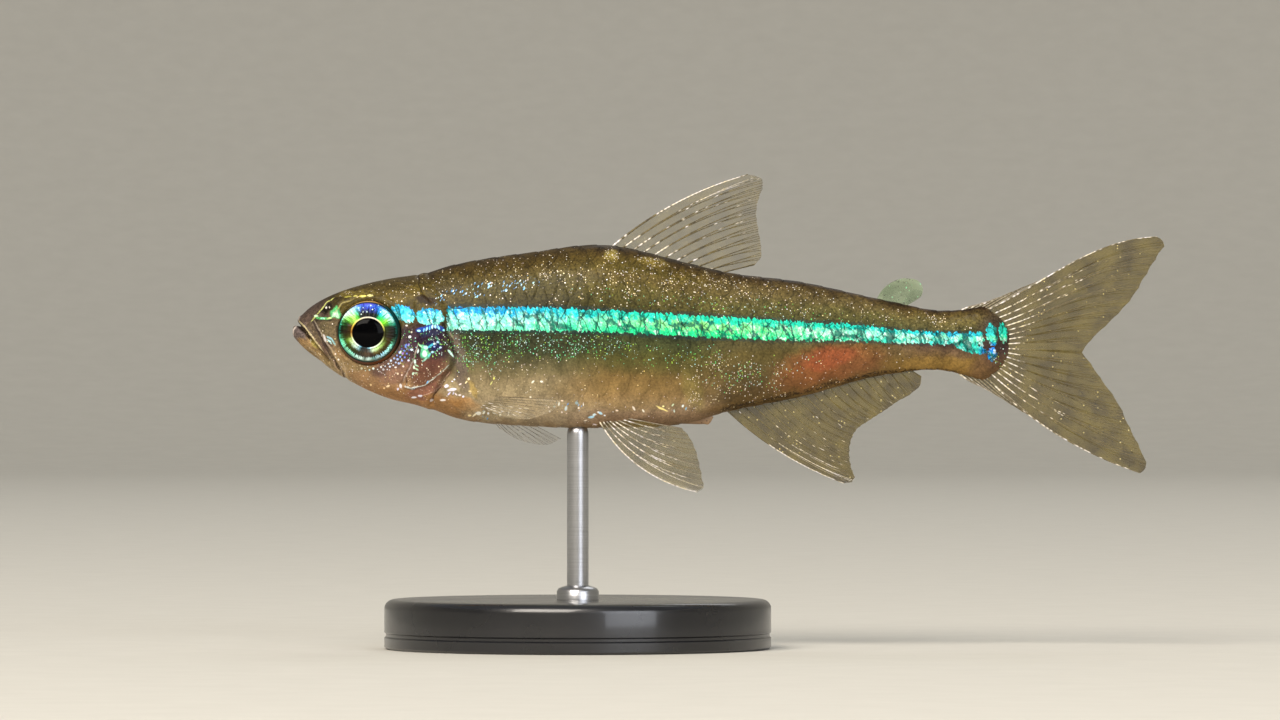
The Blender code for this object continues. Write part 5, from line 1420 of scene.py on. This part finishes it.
def ray_tube(fin, share_of, start, end, thick, draw):
    """One tube from start to end of the reach: points, faces, pale share."""
    ends = fin_points(fin, share_of(np.array([start, end])), np.array([start, end]))
    bones = max(2, int(np.linalg.norm(ends[1] - ends[0]) / SEGMENT))
    reach = np.linspace(start, end, 2 * bones + 1)
    share = share_of(reach)
    path = fin_points(fin, share, reach)
    run = np.gradient(path, axis=0)
    run /= np.linalg.norm(run, axis=1, keepdims=True)
    across = np.stack([-run[:, 2], 0 * run[:, 1], run[:, 0]], axis=1)
    across /= np.linalg.norm(across, axis=1, keepdims=True)
    out = np.cross(run, across)
    joint = np.arange(len(reach)) % 2 == 0
    radius = thick * (1 - 0.62 * reach) * np.where(joint, 0.8, 1.0)
    chance = np.zeros(len(reach))
    for s, v, half_s, half_v, most in fin["pale"]:
        distance = ((share - s) / half_s) ** 2 + ((reach - v) / half_v) ** 2
        chance = np.maximum(chance, most * np.clip(1.6 - distance, 0, 1))
    pale = np.where(joint, 0.6, 1.0) * (draw.random(len(reach)) < chance)
    pale = np.maximum(pale, fin["tone"] * np.where(joint, 0.6, 1.0))
    angle = np.arange(RAY_SIDES) * 2 * math.pi / RAY_SIDES
    ring = np.cos(angle)[None, :, None] * across[:, None] + np.sin(angle)[None, :, None] * out[:, None]
    points = (path[:, None] + radius[:, None, None] * ring).reshape(-1, 3)
    index, _, faces = ring_faces(len(reach), RAY_SIDES)
    first, last = index[0], index[-1]
    caps = [first[[0, 5, 4, 3]], first[[0, 3, 2, 1]], last[[0, 1, 2, 3]], last[[0, 3, 4, 5]]]
    return points, np.concatenate([faces, caps]), np.repeat(pale, RAY_SIDES)


def fin_rays(fin, draw):
    """All tubes of a fin."""
    count = fin["rays"]
    pitch = 1 / (count - 1)
    tubes = []
    for k in range(count):
        middle = k * pitch
        if k == 0:
            tubes.append(ray_tube(fin, lambda v: 0 * v, 0.0, 0.995, 1.15 * fin["thick"], draw))
            continue
        first, second = (min(1, s + draw.normal(0, 0.025)) if s < 1 else 1 for s in fin["split"])
        spread = (0.25, 0.125) if k < count - 1 else (0.12, 0.06)

        def share_of(v, one=0, two=0):
            wide = spread[0] * one * np.clip((v - first) / (1.001 - first), 0, 1)
            fine = spread[1] * two * np.clip((v - second) / (1.001 - second), 0, 1)
            return np.clip(middle + pitch * (wide + fine), 0.0, 1.0)

        tubes.append(ray_tube(fin, share_of, 0.0, min(first + 0.02, 0.99), fin["thick"], draw))
        for one in (-1, 1):
            stop = min(second + 0.02, 0.99)
            tubes.append(ray_tube(fin, lambda v: share_of(v, one), first, stop, 0.8 * fin["thick"], draw))
            for two in (-1, 1) if second < 1 else ():
                tubes.append(ray_tube(fin, lambda v: share_of(v, one, two), second, 0.99, 0.66 * fin["thick"], draw))
    return tubes


def join_parts(parts):
    """One set of points, faces and values from many."""
    points, faces, values, start = [], [], [], 0
    for part_points, part_faces, part_values in parts:
        points.append(part_points)
        faces.append(part_faces + start)
        values.append(part_values)
        start += len(part_points)
    return np.concatenate(points), np.concatenate(faces), np.concatenate(values)


def fin_web(fin):
    """Points and faces of the web, a thin closed slab notched between the rays."""
    columns = 4 * max(fin["rays"] - 1, 5) + 1
    share = np.linspace(0, 1, columns)
    notch = 0.009 * np.abs(np.sin(math.pi * share * (fin["rays"] - 1))) if fin["rays"] else 0 * share
    reach = np.linspace(0, 1, WEB_ROWS)[:, None] * (0.995 - notch)[None]
    middle = fin_points(fin, share[None], reach)
    thick = WEB_ROOT + (WEB_TIP - WEB_ROOT) * reach
    if not fin["rays"]:
        round_edge = np.sqrt(np.clip(1.02 - reach**4, 0, 1))
        thick = fin["thick"] * round_edge * np.sqrt(np.sin(math.pi * (0.04 + 0.92 * share)))
    ripple = 0.01 * reach * np.sin(2 * math.pi * share * fin["rays"])
    offset = np.stack([0 * reach, thick / 2, 0 * reach], axis=-1)
    wave = np.stack([0 * reach, ripple, 0 * reach], axis=-1)
    sides = np.stack([middle + wave - offset, middle + wave + offset])
    return sides.reshape(-1, 3), slab_faces(WEB_ROWS, columns)


# %% [markdown]
# Webs let light through, so the shader's alpha thins them, and the pigment is strewn as dark dots.
# Rays are bone: dull olive, with white crystal, painted bright as its glint, where the point attribute says so.
# %% Fin materials
WEBS = {"clear": (.22, "#7c6e38", "#4e4420"), "olive": (.56, "#70622a", "#483c18"),
        "milky": (.1, "#dccfb0", "#b8a682"), "fleshy": (.6, "#8e9c7c", "#6a7a5c"),
        "belly": (.92, "#a88a68", "#8a6c4c")}     # opacity of one face and two pigment colours


def make_web_material(kind):
    """Clear web with scattered pigment cells and rare crystal specks painted bright as glints."""
    alpha, tint, dark = WEBS[kind]
    material, tree, shader = new_material(f"fin_web_{kind}")
    place = add(tree, "TexCoord", out="Object")
    place = add(tree, "VectorMath:SCALE", {0: place, "Scale": 1 / MM})
    cloud = add(tree, "TexNoise", {"Vector": place, "Scale": 1.6, "Detail": 4.0})
    shade = add(tree, "MapRange", {0: cloud, 1: 0.35, 2: 0.65})
    colour = add(tree, "Mix:RGBA", {0: shade, 6: linear(tint), 7: linear(dark)})
    cell = add(tree, "TexVoronoi", {"Vector": place, "Scale": 11.0})
    chance = add(tree, "SeparateColor", {0: cell.node.outputs["Color"]})
    dot = add(tree, "MapRange", {0: cell, 1: 0.34, 2: 0.2})
    few = add(tree, "Math:LESS_THAN", {0: chance, 1: 0.3})
    dot = add(tree, "Math:MULTIPLY", {0: dot, 1: few})
    colour = add(tree, "Mix:RGBA", {0: dot, 6: colour, 7: linear("#16110a")})
    # Rare specks of crystal, painted bright as glints
    gold = add(tree, "MapRange", {0: cell, 1: 0.3, 2: 0.18})
    rare = add(tree, "Math:GREATER_THAN", {0: chance, 1: 0.82 if kind == "fleshy" else 0.95})
    gold = add(tree, "Math:MULTIPLY", {0: gold, 1: rare})
    speck = "#9af0b8" if kind == "fleshy" else "#f0e0a0"
    colour = add(tree, "Mix:RGBA", {0: gold, 6: colour, 7: linear(speck)})
    bump = add(tree, "Bump", {"Height": cloud, "Strength": 0.4, "Distance": 0.02 * MM})
    feed(tree, shader, {"Base Color": colour, "Alpha": alpha, "Roughness": 0.3, "IOR": 1.38, "Normal": bump})
    return material


def make_ray_material():
    """Bony ray: olive brown, darker at the joints, white where crystal lies, painted bright as its glint."""
    material, tree, shader = new_material("fin_ray")
    pale = add(tree, "Attribute", out="Fac", attribute_name="pale")
    place = add(tree, "TexCoord", out="Object")
    grain = add(tree, "TexNoise", {"Vector": place, "Scale": 4.0 / MM, "Detail": 3.0})
    shade = add(tree, "MapRange", {0: grain, 1: 0.35, 2: 0.65})
    colour = add(tree, "Mix:RGBA", {0: shade, 6: linear("#3a3016"), 7: linear("#6e6034")})
    white = add(tree, "Mix:RGBA", {0: shade, 6: linear("#f6e8c4"), 7: linear("#f4f0f6")})
    colour = add(tree, "Mix:RGBA", {0: pale, 6: colour, 7: white})
    rough = add(tree, "MapRange", {0: pale, 3: 0.45, 4: 0.22})
    feed(tree, shader, {"Base Color": colour, "Roughness": rough, "IOR": 1.5})
    return material


web_materials = {kind: make_web_material(kind) for kind in WEBS}
ray_material = make_ray_material()
draw = np.random.default_rng(5)
frame_nodes = set(frame["nodes"])
for name, fin in FINS.items():
    points, faces = fin_web(fin)
    if fin.get("mirror", 1) < 0:
        faces = faces[:, ::-1]
    web = new_piece(f"{name}_web", points, faces, web_materials[fin["web"]])
    pieces = [web]
    if fin["rays"]:
        points, faces, pale = join_parts(fin_rays(fin, draw))
        rays = new_piece(f"{name}_rays", points, faces, ray_material, sharp=60)
        give_attribute(rays, "pale", pale)
        pieces.append(rays)
    for piece in pieces:
        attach(piece, "root")
    if name in frame_nodes:
        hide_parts(name)
    print(name, [2 * len(piece.data.polygons) for piece in pieces], "triangles")

# %% [markdown]
# The stand is not in the photograph: it stands in for the water. A plain turned base and one thin
# rod are what a museum would use, dark and quiet so the eye stays on the fish.
# %% Stand
BASE_RADIUS, BASE_TOP, ROUND = 6.25, 1.6, 0.3
ROD_RADIUS = 0.35
base_low, base_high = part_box("stand_base")
rod_low, rod_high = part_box("stand_rod")
base_x = (base_low.x + base_high.x) / 2 / MM
rod_x = (rod_low.x + rod_high.x) / 2 / MM
ROD_TOP = rod_high.z / MM + 0.45


def rounded(radius, height, edge, steps=8):
    """Profile of an outer edge rounded towards the top, from the top face to the side."""
    return [(radius - edge + edge * math.sin(t), height - edge + edge * math.cos(t)) for t in np.linspace(0,
        math.pi / 2, steps)]


def build_stand(base_material, rod_material):
    """The turned base and the rod."""
    base_profile = [(0.0, BASE_TOP)] + [(r, BASE_TOP) for r in (2.0, 4.2)] + rounded(BASE_RADIUS, BASE_TOP, ROUND)
    base_profile += [(BASE_RADIUS, 0.55), (BASE_RADIUS - 0.05, 0.5), (BASE_RADIUS - 0.05, 0.42),
        (BASE_RADIUS, 0.37), (BASE_RADIUS, 0.08), (BASE_RADIUS - 0.08, 0.0), (0.0, 0.0)]
    points, faces = lathe(base_profile, 192)
    base = new_piece("turned_base", points + (base_x - NOSE_X, 0, -EYE_Z), faces, base_material)
    rod_profile = [(0.0, ROD_TOP)] + rounded(ROD_RADIUS, ROD_TOP, ROD_RADIUS)[1:]
    rod_profile += [(ROD_RADIUS, z) for z in np.linspace(ROD_TOP - 0.6, BASE_TOP + 0.45, 24)]
    rod_profile += [(0.46, BASE_TOP + 0.42), (0.62, BASE_TOP + 0.36), (0.68, BASE_TOP + 0.26),
        (0.68, BASE_TOP - 0.05), (0.0, BASE_TOP - 0.05)]
    points, faces = lathe(rod_profile, 64)
    rod = new_piece("steel_rod", points + (rod_x - NOSE_X, 0, -EYE_Z), faces, rod_material)
    return base, rod


def make_lacquer_material():
    """Black lacquer: deep gloss with the faint unevenness of sprayed paint."""
    material, tree, shader = new_material("black_lacquer")
    place = add(tree, "TexCoord", out="Object")
    peel = add(tree, "TexNoise", {"Vector": place, "Scale": 1.5 / MM, "Detail": 2.0})
    dust = add(tree, "TexNoise", {"Vector": place, "Scale": 0.3 / MM, "Detail": 6.0})
    colour = add(tree, "Mix:RGBA", {0: dust, 6: linear("#08080a"), 7: linear("#1c1c20")})
    rough = add(tree, "MapRange", {0: dust, 1: 0.3, 2: 0.7, 3: 0.22, 4: 0.38})
    bump = add(tree, "Bump", {"Height": peel, "Strength": 0.15, "Distance": 0.03 * MM})
    feed(tree, shader, {"Base Color": colour, "Roughness": rough, "Normal": bump, "Coat Weight": 0.5,
        "Coat Roughness": 0.08})
    return material


def make_steel_material():
    """Brushed steel: fine rings left by turning."""
    material, tree, shader = new_material("brushed_steel")
    place = add(tree, "TexCoord", out="Object")
    rings = add(tree, "VectorMath:MULTIPLY", {0: place, 1: (0.4 / MM, 0.4 / MM, 40.0 / MM)})
    lines = add(tree, "TexNoise", {"Vector": rings, "Scale": 1.0, "Detail": 3.0})
    colour = add(tree, "Mix:RGBA", {0: lines, 6: linear("#8f9093"), 7: linear("#c9cacd")})
    rough = add(tree, "MapRange", {0: lines, 3: 0.22, 4: 0.42})
    bump = add(tree, "Bump", {"Height": lines, "Strength": 0.2, "Distance": 0.01 * MM})
    feed(tree, shader, {"Base Color": colour, "Metallic": 1.0, "Roughness": rough, "Normal": bump})
    return material


stand = build_stand(make_lacquer_material(), make_steel_material())
for piece, node in zip(stand, ("stand_base", "stand_rod")):
    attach(piece, "root")
    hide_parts(node)
print("rod from", BASE_TOP, "to", round(ROD_TOP, 2), "mm")

# %% [markdown]
# The stage is a pale paper bowl, flat under the model and swept up all round, so no horizon line
# cuts the picture from any side. Large lights give the soft edges of a studio, one warmer and
# stronger from the upper left, where the photograph's light comes from.
# %% Stage and lights
FLOOR_FLAT = 0.45       # metres, wider than the ring that any camera stands on
SWEEP = 0.3
WALL_TOP = 0.6


def build_floor():
    """A bowl of paper round the model."""
    bend = [(FLOOR_FLAT + SWEEP * math.sin(t), SWEEP * (1 - math.cos(t))) for t in np.linspace(0, math.pi / 2, 20)]
    profile = [(FLOOR_FLAT + SWEEP, WALL_TOP)] + bend[::-1] + [(0.05, 0.0)]
    steps = 128
    points = np.concatenate(turned(profile, steps) + [[(0.0, 0.0, 0.0)]])
    index, after, faces = ring_faces(len(profile), steps)
    faces = faces.tolist()
    faces += [(len(points) - 1, int(a), int(b)) for a, b in zip(index[-1], after[-1])]
    material, tree, shader = new_material("backdrop_paper")
    place = add(tree, "TexCoord", out="Object")
    fibre = add(tree, "TexNoise", {"Vector": place, "Scale": 0.5 / MM, "Detail": 5.0})
    colour = add(tree, "Mix:RGBA", {0: fibre, 6: linear("#cac7be"), 7: linear("#d3d0c7")})
    feed(tree, shader, {"Base Color": colour, "Roughness": 0.85, "Specular IOR Level": 0.2})
    floor = new_piece("paper_floor", points / MM + (-NOSE_X, 0, -EYE_Z), faces, material)


def area_light(name, place, size, power, code):
    """A square soft light aimed at the fish."""
    light = bpy.data.lights.new(name, "AREA")
    light.shape, light.size, light.energy, light.color = "SQUARE", size, power, linear(code)[:3]
    item = bpy.data.objects.new(name, light)
    item.location = place
    towards = Vector((0.0, 0.0, 0.01)) - Vector(place)
    item.rotation_euler = towards.to_track_quat("-Z", "Y").to_euler()
    bpy.context.scene.collection.objects.link(item)


build_floor()
area_light("key_light", (-0.15, -0.36, 0.32), 0.3, 3.1, "#fff6ea")
area_light("fill_light", (0.22, -0.36, 0.13), 0.25, 0.8, "#f2f6ff")
area_light("rim_light", (0.1, 0.3, 0.4), 0.3, 0.5, "#ffffff")
world = bpy.data.worlds.new("studio_air")
bpy.context.scene.world = world
world.use_nodes = True
sky = world.node_tree.nodes["Background"]
feed(world.node_tree, sky, {"Color": (0.92, 0.96, 1.0, 1.0), "Strength": 0.3})
bpy.context.scene.view_settings.view_transform = "Standard"

# %% [markdown]
# The camera looks square at the left flank, as in the photograph: a long lens from about 29 cm keeps
# the fish free of perspective swelling. Its frame is 41 mm wide at the fish.
# %% Camera
FRAME_WIDTH = 41.344
FRAME_CENTRE = (-2.88, 9.33)
LENS, SENSOR = 250.0, 36.0
camera_data = bpy.data.cameras.new("photo_camera")
camera_data.lens, camera_data.sensor_width = LENS, SENSOR
camera_data.clip_start, camera_data.clip_end = 0.01, 5.0
camera = bpy.data.objects.new("photo_camera", camera_data)
camera.location = (FRAME_CENTRE[0] * MM, -FRAME_WIDTH * MM * LENS / SENSOR, FRAME_CENTRE[1] * MM)
camera.rotation_euler = (math.radians(90), 0.0, 0.0)
bpy.context.scene.collection.objects.link(camera)
bpy.context.scene.camera = camera
print("camera", round(-camera.location.y / MM), "mm from the fish")
